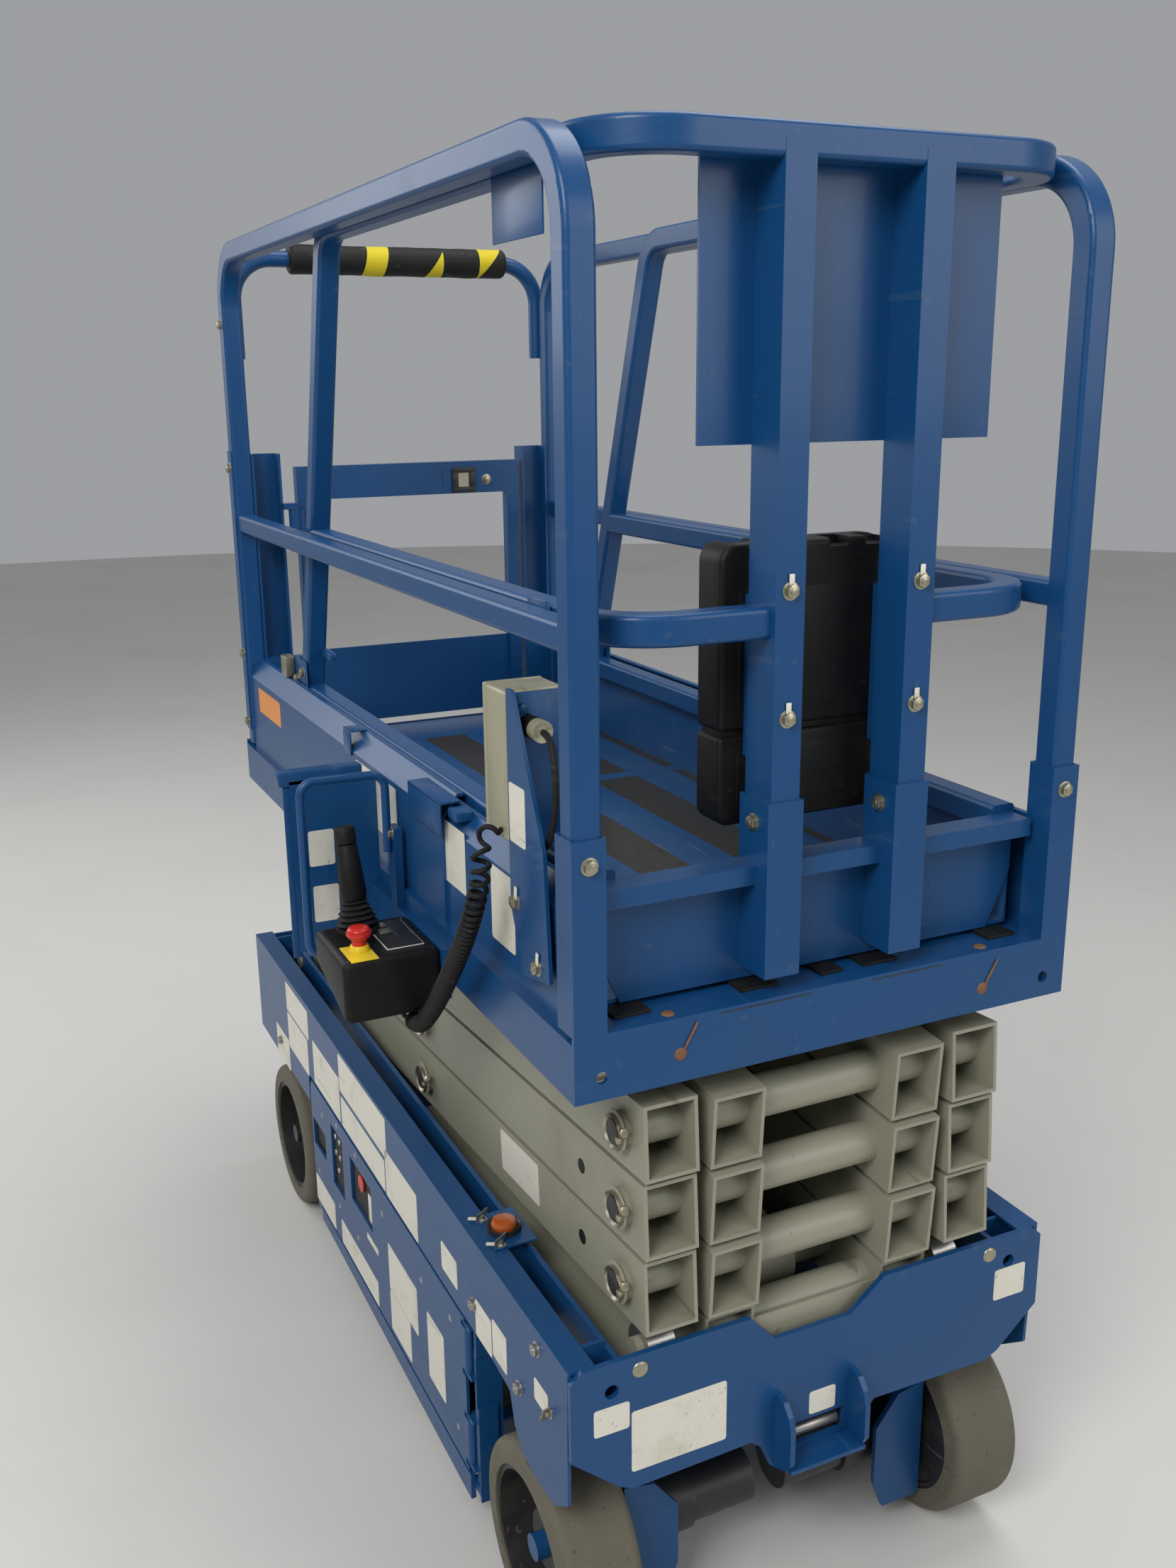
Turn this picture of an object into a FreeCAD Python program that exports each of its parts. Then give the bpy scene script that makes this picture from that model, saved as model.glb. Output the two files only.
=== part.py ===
import FreeCAD, Part
import math
import os
import re

import Sketcher
from FreeCAD import Placement, Rotation, Vector

# Electric slab scissor lift with a slide-out deck. Millimetres, +Z up, +X towards the
# steered wheels, the floor at z = 0 and the origin under the middle of the machine.
os.makedirs("parts", exist_ok=True)
doc = FreeCAD.newDocument("scissor_lift")

# Sizes: alias, value, what it is
SIZES = [
    ("overall_len", 1830, "front beam to its mirror place at the rear"),
    ("tow_out", 30, "tow gussets past the front beam"),
    ("chassis_wide", 760, "outside of the side panels"),
    ("chassis_top", 550, "top edge of the chassis"),
    ("chassis_rear", 790, "rear plate behind the origin"),
    ("skin", 5, "side panel sheet"),
    ("wheel_base", 1320, "front to rear wheel centre"),
    ("beam_over", 170, "front wheel centre to front beam"),
    ("tyre_dia", 305, "tyre outside"),
    ("tyre_wide", 114, "tyre width"),
    ("rim_dia", 232, "tyre seat on the rim"),
    ("king_y", 213, "king pin off the centre line"),
    ("spindle_dia", 38, "wheel spindles"),
    ("rail_y", 300, "inner face of the frame rails"),
    ("floor_low", 420, "underside of the chassis floor"),
    ("web_low", 100, "bottom of the cross webs"),
    ("step_low", 322, "rail bottom over the rear wheels"),
    ("step_high", 396, "rail bottom over the trays and front wheels"),
    ("web_half", 105, "half width of the front web between the tyres"),
    ("hinge_x", 517, "tray hinge pins"),
    ("hinge_y", 372, "tray hinge pins off the centre line"),
    ("hinge_pin", 8, "tray hinge pin"),
    ("arm_len", 1528, "pin to pin"),
    ("row_pitch", 109, "stowed height of one level"),
    ("row_low", 512, "lowest pin row"),
    ("pin_front", 847, "front pins, stowed"),
    ("tube_wide", 76, "arm tube width"),
    ("tube_high", 102, "arm tube height"),
    ("tube_wall", 5, "arm tube wall"),
    ("outer_face", 274, "outer arm, outer face"),
    ("inner_face", 178, "inner arm, outer face"),
    ("arm_over", 58, "tube past its end pin"),
    ("end_short", 42, "the same behind the beams"),
    ("pin_dia", 32, "scissor pins"),
    ("pin_play", 0.1, "pin clearance on the radius"),
    ("boss_dia", 57, "pin sleeves"),
    ("plat_len", 1680, "platform length"),
    ("plat_wide", 744, "platform width"),
    ("beam_low", 925, "bottom of the platform beams"),
    ("edge_top", 1001, "upper edge of the side beams"),
    ("beam_top", 1010, "upper edge of the end beams"),
    ("toe_top", 1190, "top of the toe boards"),
    ("toe_front", 1176, "top of their front parts"),
    ("rail_top", 2014, "top of the outer rails"),
    ("rail_tube", 38, "outer rail tube"),
    ("inner_tube", 38, "inner rail tube"),
    ("mid_rail", 1475, "mid rail height"),
    ("bend_rad", 100, "rail bends, centre line"),
    ("inner_y", 304, "inner rails off the centre line"),
    ("deck_half", 320, "half width of the deck"),
    ("gate_x", 708, "gate hinge pins behind the origin"),
    ("gate_y", 250, "gate hinge pins off the centre line"),
    ("gate_pin", 12, "gate hinge pin"),
    ("barrel_dia", 89, "lift cylinder barrel"),
    ("rod_dia", 50, "lift cylinder rod"),
    ("cord_dia", 28, "coiled cord, over the coils"),
    ("box_out", 155, "control box past the platform side"),
]
sheet = doc.addObject("Spreadsheet::Sheet", "sizes")
for row, (alias, value, note) in enumerate(SIZES, 1):
    sheet.set("A%d" % row, note)
    sheet.set("B%d" % row, str(value))
    sheet.setAlias("B%d" % row, alias)
doc.recompute()
S = {alias: float(value) for alias, value, note in SIZES}

# places worked out from the sizes
x_front = S["overall_len"] / 2
x_fw = x_front - S["beam_over"]
x_rw = x_fw - S["wheel_base"]
x_pr = x_front - S["plat_len"]
axle_z = S["tyre_dia"] / 2
tyre_y = (S["chassis_wide"] - S["tyre_wide"]) / 2
span = math.sqrt(S["arm_len"] ** 2 - S["row_pitch"] ** 2)
tilt = math.degrees(math.asin(S["row_pitch"] / S["arm_len"]))
pin_rear = S["pin_front"] - span
pin_mid = (S["pin_front"] + pin_rear) / 2
# the control box hangs on one side, so the machine's own middle lies beside the origin
line_y = (S["plat_wide"] / 2 + S["box_out"] - S["chassis_wide"] / 2) / 2
MORE = {
    "x_front": "overall_len/2",
    "x_fw": "overall_len/2-beam_over",
    "x_rw": "overall_len/2-beam_over-wheel_base",
    "x_cf": "overall_len/2-9",
    "x_pr": "overall_len/2-plat_len",
    "axle_z": "tyre_dia/2",
    "tyre_y": "(chassis_wide-tyre_wide)/2",
    "plat_half": "plat_wide/2",
    "side_out": "chassis_wide/2",
    "line_y": "(plat_wide/2+box_out-chassis_wide/2)/2",
    "top_row": "row_low+4*row_pitch",
    "rail_out": "rail_y+8",
}
for row, (alias, text) in enumerate(MORE.items(), len(SIZES) + 1):
    sheet.set("A%d" % row, "worked out")
    sheet.set("B%d" % row, "=" + text)
    sheet.setAlias("B%d" % row, alias)
doc.recompute()
NAMES = sorted(list(S) + list(MORE), key=len, reverse=True)
WORD = re.compile(r"\b(" + "|".join(NAMES) + r")\b")

count = [0]
made = []


# Makers: each gives a document object whose sizes follow the sheet
def ex(text):
    return WORD.sub(r"sizes.\1", str(text))


def new(kind, word):
    count[0] += 1
    return doc.addObject(kind, "%s_%d" % (word, count[0]))


def box(x0, x1, y0, y1, z0, z1):
    b = new("Part::Box", "block")
    for name, lo, hi in (("Length", x0, x1), ("Width", y0, y1), ("Height", z0, z1)):
        b.setExpression(name, "(%s)-(%s)" % (ex(hi), ex(lo)))
    for name, lo in (("x", x0), ("y", "%s+line_y" % y0), ("z", z0)):
        b.setExpression("Placement.Base." + name, ex(lo))
    return b


def sides(s, lo, hi):
    """The same two distances off the centre line, to the left or to the right."""
    return (lo, hi) if s > 0 else ("-(%s)" % hi, "-(%s)" % lo)


def pair_box(s, x0, x1, lo, hi, z0, z1):
    a, b = sides(s, lo, hi)
    return box(x0, x1, a, b, z0, z1)


TURN = {"x": Rotation(Vector(0, 1, 0), 90), "y": Rotation(Vector(1, 0, 0), -90),
        "z": Rotation()}


def rod(axis, x, y, z, dia, size):
    c = new("Part::Cylinder", "round")
    c.Placement = Placement(Vector(), TURN[axis])
    c.setExpression("Radius", "(%s)/2" % ex(dia))
    c.setExpression("Height", ex(size))
    for name, at in (("x", x), ("y", "%s+line_y" % y), ("z", z)):
        c.setExpression("Placement.Base." + name, ex(at))
    return c


FACE = {"xz": (Rotation(Vector(1, 0, 0), 90), Vector(0, 1, 0), "y"),
        "yz": (Rotation(0.5, 0.5, 0.5, 0.5), Vector(1, 0, 0), "x"),
        "xy": (Rotation(), Vector(0, 0, 1), "z")}


def plate(plane, points, lo, size):
    """A plate cut to an outline; each point is a pair of sizes."""
    turn, way, name = FACE[plane]
    sk = new("Sketcher::SketchObject", "outline")
    sk.Placement = Placement(Vector(), turn)
    sk.setExpression("Placement.Base.y", ex("%s+line_y" % lo if name == "y" else "line_y"))
    if name != "y":
        sk.setExpression("Placement.Base." + name, ex(lo))
    n = len(points)
    rough = [Vector(math.cos(-6.28 * i / n), math.sin(-6.28 * i / n), 0) for i in range(n)]
    for i in range(n):
        sk.addGeometry(Part.LineSegment(rough[i], rough[(i + 1) % n]), False)
    for i in range(n):
        sk.addConstraint(Sketcher.Constraint("Coincident", i, 2, (i + 1) % n, 1))
    for i, (u, v) in enumerate(points):
        for kind, text in (("DistanceX", u), ("DistanceY", v)):
            at = sk.addConstraint(Sketcher.Constraint(kind, -1, 1, i, 1, 1.0))
            sk.setExpression("Constraints[%d]" % at, ex(text))
    e = new("Part::Extrusion", "plate")
    e.Base = sk
    e.DirMode = "Custom"
    e.Dir = way
    e.Solid = True
    e.setExpression("LengthFwd", ex(size))
    return e


def bar(s, points, lo, size):
    """A long folded bar along X; its section is given for the left side."""
    return plate("yz", [(y if s > 0 else "-(%s)" % y, z) for y, z in points], lo, size)


def fuse(label, shapes):
    f = new("Part::MultiFuse", "joined")
    f.Shapes = shapes
    f.Refine = True
    f.Label = label
    return f


def cut(label, base, tools):
    c = new("Part::Cut", "cut")
    c.Base = base
    c.Tool = tools[0] if len(tools) == 1 else fuse("tools", tools)
    c.Refine = True
    c.Label = label
    return c


def group(label, shapes):
    """Like pieces that do not touch, kept as one node."""
    g = new("Part::Compound", "group")
    g.Links = shapes
    return node(g, label)


def node(obj, label):
    obj.Label = label
    made.append(obj)
    return obj


def shape_node(label, shape, at=None, turn=None):
    f = new("Part::Feature", "form")
    f.Shape = shape
    f.Placement = Placement(at or Vector(0, line_y, 0), turn or Rotation())
    return node(f, label)


def path(points, bends):
    """A line through the points with round bends of the given radii."""
    pts = [Vector(*p) for p in points]
    edges, start = [], pts[0]
    for i in range(1, len(pts) - 1):
        a, b, c = pts[i - 1], pts[i], pts[i + 1]
        u, w = (a - b).normalize(), (c - b).normalize()
        half = math.acos(max(-1, min(1, u.dot(w)))) / 2
        want = bends[i - 1] if isinstance(bends, list) else bends
        r = min(want, 0.45 * min((a - b).Length, (c - b).Length) * math.tan(half))
        back = r / math.tan(half)
        p, q = b + u * back, b + w * back
        mid = b + (u + w).normalize() * (r / math.sin(half) - r)
        edges.append(Part.makeLine(start, p))
        edges.append(Part.Arc(p, mid, q).toShape())
        start = q
    edges.append(Part.makeLine(start, pts[-1]))
    return Part.Wire(edges)


def tube(points, dia, bends, square=False):
    spine = path(points, bends)
    way = (Vector(*points[1]) - Vector(*points[0])).normalize()
    first = Vector(*points[0])
    if not square:
        section = Part.Wire([Part.makeCircle(dia / 2, first, way)])
        return spine.makePipeShell([section], True, False)
    # a square tube with rounded corners
    up = Vector(0, 1, 0) if abs(way.y) < 0.9 else Vector(0, 0, 1)
    side = way.cross(up).normalize()
    up = side.cross(way)
    h, r = dia / 2, dia * 0.18
    k, edges = r * math.sqrt(0.5), []
    turns = [(1, 1), (-1, 1), (-1, -1), (1, -1)]
    ends = []
    for i, j in turns:
        c = (i * (h - r), j * (h - r))
        a, b = (c[0] + i * r, c[1]), (c[0], c[1] + j * r)
        if i * j < 0:
            a, b = b, a
        ends.append((a, (c[0] + i * k, c[1] + j * k), b))
    flat = [tuple(first + side * p[0] + up * p[1] for p in e) for e in ends]
    for n, (a, m, b) in enumerate(flat):
        edges.append(Part.Arc(a, m, b).toShape())
        edges.append(Part.makeLine(b, flat[(n + 1) % 4][0]))
    return spine.makePipeShell([Part.Wire(edges)], True, False)


def block(x0, x1, y0, y1, z0, z1):
    """A plain block shape for the free forms below."""
    return Part.makeBox(x1 - x0, y1 - y0, z1 - z0, Vector(x0, y0, z0))


# Chassis: floor with its webs, rails, roller tracks, side panels and end plates
BOTH = (-1, 1)
parts = [box("-chassis_rear+6", "x_cf-8", "-rail_y", "rail_y", "floor_low", "floor_low+6"),
         box("x_fw-62", "x_fw+62", "-rail_y", "rail_y", "338", "floor_low+3"),
         box("-395", "545", "-14", "14", "web_low", "floor_low+3"),
         box("-395", "-387", "-rail_y", "rail_y", "web_low", "floor_low+3"),
         box("-395", "-387", "-366", "366", "web_low", "step_low"),
         box("537", "545", "-rail_y", "rail_y", "330", "floor_low+3"),
         box("537", "545", "-hinge_y", "hinge_y", "330", "step_high"),
         box("537", "545", "-web_half", "web_half", "web_low", "340")]
HINGES = [(125, 205), (290, 370)]
for s in BOTH:
    parts.append(pair_box(s, "534", "542", "330", "hinge_y", "web_low", "340"))
    for lo, hi in HINGES:
        parts.append(rod("z", "hinge_x", "%d*hinge_y" % s, lo - 6, "hinge_pin", hi - lo + 12))
        for z in (lo - 6, hi):
            parts.append(pair_box(s, "hinge_x-8", "536", "hinge_y-10", "hinge_y+6", z, z + 6))
holes = [rod("z", "x_fw", "%d*king_y" % s, "300", "40+2*pin_play", "floor_low-300") for s in BOTH]
node(cut("chassis_frame", fuse("floor_block", parts), holes), "chassis_frame")

rail_line = [
    ("-chassis_rear+6", "chassis_top-12"), ("-chassis_rear+6", "step_low"), ("-380", "step_low"),
    ("-368", "step_high"), ("x_cf-8", "step_high"), ("x_cf-8", "chassis_top-12"),
]
rails = []
for s in BOTH:
    lo = sides(s, "rail_y", "rail_out")[0]
    web = plate("xz", rail_line, lo, "rail_out-rail_y")
    boss = pair_box(s, pin_rear - 45, pin_rear + 45, "rail_y-10", "rail_y+2", "row_low-60", "row_low+26")
    pin = rod("y", pin_rear, "-400", "row_low", "pin_dia+2*pin_play", "800")
    rails.append(cut("rail", fuse("rail_block", [web, boss]), [pin]))
group("frame_rails", rails)
group("roller_tracks", [pair_box(s, "30", "880", "206", "rail_y", "row_low-41", "row_low-33")
                        for s in BOTH])

side_line = [
    ("-chassis_rear", "chassis_top"), ("-chassis_rear", "330"), ("-372", "330"),
    ("-372", "392"), ("640", "392"), ("700", "386"), ("715", "340"), ("738", "316"),
    ("780", "308"), ("850", "312"), ("x_cf-14", "345"), ("x_cf-8", "chassis_top"),
]
panels = []
for s in BOTH:
    lo = sides(s, "side_out-skin", "side_out")[0]
    parts = [plate("xz", side_line, lo, "skin"),
             pair_box(s, "-chassis_rear", "x_cf-8", "side_out-38", "side_out", "chassis_top-5", "chassis_top")]
    # the wings that tie the panel to its frame rail
    for x in (-760, 590, 850):
        parts.append(pair_box(s, x, x + 6, "rail_out", "side_out-skin+1", "400", "chassis_top-4"))
    panels.append(fuse("panel", parts))
group("side_panels", panels)

front_line = [
    ("-side_out", "chassis_top-14"), ("-side_out+16", "chassis_top"), ("-116", "chassis_top"),
    ("-76", "chassis_top-44"), ("45", "chassis_top-44"), ("101", "chassis_top"),
    ("side_out-16", "chassis_top"), ("side_out", "chassis_top-14"),
    ("side_out", "420"), ("365", "407"), ("312", "360"), ("291", "350"), ("92", "354"), ("78", "338"),
    ("60", "304"), ("52", "300"), ("-70", "300"), ("-80", "306"), ("-96", "342"), ("-112", "354"),
    ("-291", "350"), ("-312", "360"), ("-365", "407"), ("-side_out", "420"),
]
tow_line = [("x_cf-4", "298"), ("x_front+tow_out-9", "316"), ("x_front+tow_out", "330"),
            ("x_front+tow_out", "382"), ("x_front+tow_out-6", "402"), ("x_front+tow_out-20", "417"),
            ("x_cf-4", "420")]
parts = [plate("yz", front_line, "x_cf-8", "8"),
         plate("xz", tow_line, "-74", "8"), plate("xz", tow_line, "48", "8"),
         box("x_cf-4", "x_front+tow_out-2", "-70", "52", "312", "318")]
holes = [rod("x", "800", "%d*322" % s, "508", "20", "200") for s in BOTH]
holes.append(box("x_cf-20", "x_cf+5", "-40", "39", "325", "360"))
front = cut("front_plate", fuse("front_block", parts), holes)
rear = box("-chassis_rear", "-chassis_rear+6", "-side_out+skin", "side_out-skin", "330", "chassis_top-5")
group("end_plates", [front, rear])

# rear axle with its spindles
parts = [box("x_rw-35", "x_rw+35", "-250", "250", "axle_z-35", "axle_z+35")]
for s in BOTH:
    parts.append(pair_box(s, "x_rw-40", "x_rw+40", "225", "250", "axle_z", "floor_low"))
parts.append(rod("y", "x_rw", "-side_out+10", "axle_z", "spindle_dia", "chassis_wide-20"))
node(fuse("rear_axle", parts), "rear_axle")

# ladder at the entry end
LADDER = {"half": 190, "bar": 24, "rungs": (270, 560, 850), "ties": (345, 500)}
end = "-x_front-tow_out"
parts = []
for s in BOTH:
    lo, hi = LADDER["half"] - LADDER["bar"] / 2, LADDER["half"] + LADDER["bar"] / 2
    parts.append(pair_box(s, end, end + "+30", lo, hi, "250", "880"))
    for z in LADDER["ties"]:
        parts.append(pair_box(s, end + "+29", "-chassis_rear", lo, hi, z, z + 30))
for z in LADDER["rungs"]:
    parts.append(box(end, end + "+30", -LADDER["half"], LADDER["half"], z, z + 30))
node(fuse("ladder", parts), "ladder")

# beacon on its small plate
parts = [box("518", "612", "-362", "-296", "chassis_top", "chassis_top+3"),
         rod("z", "568", "-330", "chassis_top+3", "34", "12")]
node(fuse("beacon", parts), "beacon")

# steering cylinder and its through rod
parts = [rod("y", "x_fw-98", "-105", "372", "56", "210"),
         box("x_fw-110", "x_fw-62", "-60", "60", "372", "floor_low")]
node(cut("steer_cylinder", fuse("steer_barrel", parts),
         [rod("y", "x_fw-98", "-120", "372", "28.4", "240")]), "steer_cylinder")
parts = [rod("y", "x_fw-98", "-215", "372", "28", "430")]
for s in BOTH:
    parts.append(pair_box(s, "x_fw-118", "x_fw-78", "king_y-20", "king_y+20", "336", "386"))
node(fuse("steer_rod", parts), "steer_rod")

# Wheels: name, x, side, steered
WHEELS = [
    ("front_left", "x_fw", 1, True), ("front_right", "x_fw", -1, True),
    ("rear_left", "x_rw", 1, False), ("rear_right", "x_rw", -1, False),
]
ROUND = 14
yoke_line = [("258", "262"), ("211", "253"), ("172", "203"), ("172", "104"), ("190", "56"), ("258", "56")]
for name, x, s, steered in WHEELS:
    mid = tyre_y * s
    w = S["tyre_wide"] / 2
    r = S["tyre_dia"] / 2
    # tyre: a turned ring with round shoulders
    ring = [(S["rim_dia"] / 2, -w), (r - ROUND, -w), (r, -w + ROUND), (r, w - ROUND),
            (r - ROUND, w), (S["rim_dia"] / 2, w)]
    e = []
    for i, (a, b) in enumerate(ring):
        c, d = ring[(i + 1) % len(ring)]
        p, q = Vector(a, b, 0), Vector(c, d, 0)
        if i in (1, 3):
            k = Vector(r - ROUND, (w - ROUND) * (-1 if i == 1 else 1), 0)
            m = k + ((p - k) + (q - k)).normalize() * ROUND
            e.append(Part.Arc(p, m, q).toShape())
        else:
            e.append(Part.makeLine(p, q))
    solid = Part.Face(Part.Wire(e)).revolve(Vector(), Vector(0, 1, 0), 360)
    at = Vector({"x_fw": x_fw, "x_rw": x_rw}[x], mid + line_y, axle_z)
    shape_node("tyre_" + name, solid, at)
    rim = cut("rim", rod("y", x, mid - w + 4, "axle_z", "rim_dia", "tyre_wide-8"),
              [rod("y", x, mid - w + 3, "axle_z", "rim_dia-16", "tyre_wide-6")])
    disc_y = mid - s * (w - 14) - 6
    disc = rod("y", x, disc_y, "axle_z", "rim_dia-8", "12")
    boss = rod("y", x, mid - s * 8 - 35, "axle_z", "92", "70")
    node(cut("hub_" + name, fuse("hub_block", [rim, disc, boss]),
             [rod("y", x, mid - 80, "axle_z", "spindle_dia+2*pin_play", "160")]), "hub_" + name)
    if not steered:
        continue
    side = "left" if s > 0 else "right"
    king = "%d*king_y" % s
    parts = [pair_box(s, "x_fw-62", "x_fw+62", "236", "252", "56", "328"),
             pair_box(s, "x_fw-62", "x_fw+62", "170", "252", "312", "328"),
             pair_box(s, "x_fw-120", "x_fw-60", "king_y-18", "king_y+18", "312", "328"),
             bar(s, yoke_line, "x_fw+60", "8"),
             rod("z", "x_fw", king, "320", "40", "95"), rod("z", "x_fw", king, "328", "64", "5"),
             rod("y", "x_fw", "250" if s > 0 else "-370", "axle_z", "spindle_dia", "120")]
    node(fuse("yoke_" + side, parts), "yoke_" + side)
    parts = [rod("y", "x_fw", "132" if s > 0 else "-236", "axle_z", "96", "104"),
             rod("y", "x_fw", "26" if s > 0 else "-134", "axle_z", "84", "108")]
    node(fuse("motor_" + side, parts), "motor_" + side)

# Swing-out trays and the guards under them
tray_line = [("-365", "112"), ("-365", "366"), ("-352", "385"), ("hinge_x", "385"), ("hinge_x", "112")]
guard_line = [("-330", "78"), ("-330", "106"), ("523", "106"), ("523", "62"), ("500", "62")]
WINDOWS = [(-356, -267, 245, 302), (-219, -141, 224, 353), (-89, 42, 259, 348)]
HANGERS = [("-386.7", "-380", "330", "366", "82"), ("542.3", "547", "340", "hinge_y", "70")]
for side, s in (("left", 1), ("right", -1)):
    lo = sides(s, "side_out-skin", "side_out")[0]
    holes = [pair_box(s, "hinge_x-12", "hinge_x+9", "side_out-12", "side_out+2", z - 8, z + 2)
             for lo_z, hi_z in HINGES for z in (lo_z, hi_z + 6)]
    if side == "right":
        holes += [box(a, b, "-400", "-360", c, d) for a, b, c, d in WINDOWS]
    parts = [cut("tray_skin", plate("xz", tray_line, lo, "skin"), holes),
             pair_box(s, "-320", "440", "70", "side_out-skin+1", "112", "117"),
             pair_box(s, "439", "500", "340", "side_out-skin+1", "112", "117")]
    for a, b in HINGES:
        parts.append(rod("z", "hinge_x", "%d*hinge_y" % s, a + 0.3, "2*hinge_pin", b - a - 0.6))
    bores = [rod("z", "hinge_x", "%d*hinge_y" % s, a - 9, "hinge_pin+2*pin_play", b - a + 18)
             for a, b in HINGES]
    node(cut("tray_" + side, fuse("tray_block", parts), bores), "tray_" + side)
    lo = sides(s, "side_out-8", "side_out")[0]
    parts = [plate("xz", guard_line, lo, "8")]
    for a, b, c, d, low in HANGERS:
        rear = a.startswith("-")
        parts.append(pair_box(s, a, b, c, d, low, "240"))
        parts.append(pair_box(s, a if rear else "515", "-320" if rear else b,
                              "364", "side_out-7", "82", "97"))
    node(fuse("guard_" + side, parts), "guard_" + side)
node(box("-300", "420", "86", "352", "117", "378"), "battery_block")
parts = [box("130", "420", "-330", "-100", "117", "300"),
         rod("x", "-60", "-200", "210", "120", "190"),
         box("-60", "130", "-240", "-160", "117", "160")]
node(fuse("hydraulic_unit", parts), "hydraulic_unit")
node(box("-240", "60", "-(side_out-skin)", "-330", "218", "360"), "ground_controls")


# Scissor arms
def arm_tubes(face, start="arm_over", end="arm_over"):
    """Two open tubes along X with the first pin at the origin."""
    out = []
    for s in BOTH:
        a, b = sides(s, "%s-tube_wide" % face, face)
        c, d = sides(s, "%s-tube_wide+tube_wall" % face, "%s-tube_wall" % face)
        solid = box("-" + start, "arm_len+" + end, a, b, "-tube_high/2", "tube_high/2")
        hole = box("-arm_over-5", "arm_len+arm_over+5", c, d,
                   "-tube_high/2+tube_wall", "tube_high/2-tube_wall")
        out.append(cut("tube", solid, [hole]))
    return out


def round_end():
    """What comes off the far end of a top arm, so that it turns under the floor."""
    return cut("end_tool", box("arm_len", "arm_len+arm_over+9", "-400", "400", "-90", "90"),
               [rod("y", "arm_len", "-410", "0", "tube_high-1", "820")])


# reach of an outer arm's end pins, by kind: first end, far end
REACH = {"low": (312, 288), "mid": (288, 288), "top": (288, 338)}


def outer_form(kind):
    parts = arm_tubes("outer_face", end="end_short" if kind == "top" else "arm_over")
    if kind == "top":
        parts = [cut("arm_end", fuse("arm_pair", parts), [round_end()])]
    for u, reach in zip(("0", "arm_len"), REACH[kind]):
        parts.append(rod("y", u, -reach, 0, "pin_dia", 2 * reach))
    for s in BOTH:
        lo = sides(s, "outer_face", "outer_face+10")[0]
        inner = sides(s, "outer_face-tube_wide+1", "outer_face")[0]
        parts.append(rod("y", "arm_len/2", 96 if s > 0 else -288, 0, "pin_dia", 192))
        for u in ("0", "arm_len/2", "arm_len"):
            parts.append(rod("y", u, lo, 0, "boss_dia-7", 10))
            parts.append(rod("y", u, inner, 0, "boss_dia-7", "tube_wide-1"))
    return fuse("outer_form", parts)


def inner_form(first, pins, rounded=False):
    parts = arm_tubes("inner_face", start="end_short" if first else "arm_over")
    if rounded:
        parts = [cut("arm_end", fuse("arm_pair", parts), [round_end()])]
    for u in ("0", "arm_len"):
        parts.append(rod("y", u, "-inner_face", 0, "boss_dia", "2*inner_face"))
    for s in BOTH:
        lo = sides(s, "inner_face-tube_wide", "inner_face")[0]
        parts.append(rod("y", "arm_len/2", lo, 0, "boss_dia", "tube_wide"))
    for u in pins:
        parts.append(rod("y", u, "-inner_face+2", 0, "pin_dia+8", "2*inner_face-4"))
    bores = [rod("y", u, -400, 0, "pin_dia+2*pin_play", 800) for u in ("arm_len/2", "arm_len")]
    if first:
        shaft = rod("y", 0, -262, 0, "pin_dia", 524)
        return fuse("inner_form", [cut("inner_cut", fuse("inner_block", parts), bores), shaft])
    bores.append(rod("y", 0, -400, 0, "pin_dia+2*pin_play", 800))
    return cut("inner_form", fuse("inner_block", parts), bores)


# where the lift cylinder's pins stand along the first and second inner arm
LOW_PIN, HIGH_PIN = 0.06, 0.95
OUTER = {k: outer_form(k) for k in ("low", "mid", "top")}
INNER = {1: inner_form(True, ["arm_len*%s" % LOW_PIN]), 2: inner_form(False, ["arm_len*%s" % HIGH_PIN]),
         3: inner_form(False, []), 4: inner_form(False, [], True)}
doc.recompute()
ARMS = [(1, "low", 1), (2, "mid", 2), (3, "mid", 3), (4, "top", 4)]
for k, outer, inner in ARMS:
    z = S["row_low"] + (k - 1) * S["row_pitch"]
    shape_node("arm_outer_%d" % k, OUTER[outer].Shape.copy(), Vector(pin_rear, 0, z),
               Rotation(Vector(0, 1, 0), -tilt))
    shape_node("arm_inner_%d" % k, INNER[inner].Shape.copy(), Vector(S["pin_front"], 0, z),
               Rotation(Vector(0, 1, 0), 180 + tilt))
# rollers: node, y of one end, width, height, diameter
ROLLERS = [("base_rollers", 212, 40, "row_low", 64), ("top_rollers", 298, 36, "top_row", 60)]
for name, y, wide, z, dia in ROLLERS:
    parts = [cut("roller", rod("y", "pin_front", y if s > 0 else -y - wide, z, dia, wide),
                 [rod("y", "pin_front", -400, z, "pin_dia+2*pin_play", 800)]) for s in BOTH]
    group(name, parts)

# lift cylinder, from the first inner arm to the second
row = S["row_pitch"]
p_at = Vector(S["pin_front"] - LOW_PIN * span, 0, S["row_low"] + LOW_PIN * row)
q_at = Vector(S["pin_front"] - HIGH_PIN * span, 0, S["row_low"] + (1 + HIGH_PIN) * row)
reach = (q_at - p_at).Length
lean = math.degrees(math.atan2(q_at.z - p_at.z, p_at.x - q_at.x))
pin_bore = S["pin_dia"] / 2 + 4 + S["pin_play"]
barrel_len = reach - 95
barrel = Part.makeCylinder(S["barrel_dia"] / 2, barrel_len - 60, Vector(60, 0, 0), Vector(1, 0, 0))
eye = Part.makeCylinder(36, 60, Vector(0, -30, 0), Vector(0, 1, 0))
neck = block(10, 80, -25, 25, -25, 25)
solid = barrel.fuse([eye, neck])
solid = solid.cut(Part.makeCylinder(pin_bore, 100, Vector(0, -50, 0), Vector(0, 1, 0)))
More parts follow.
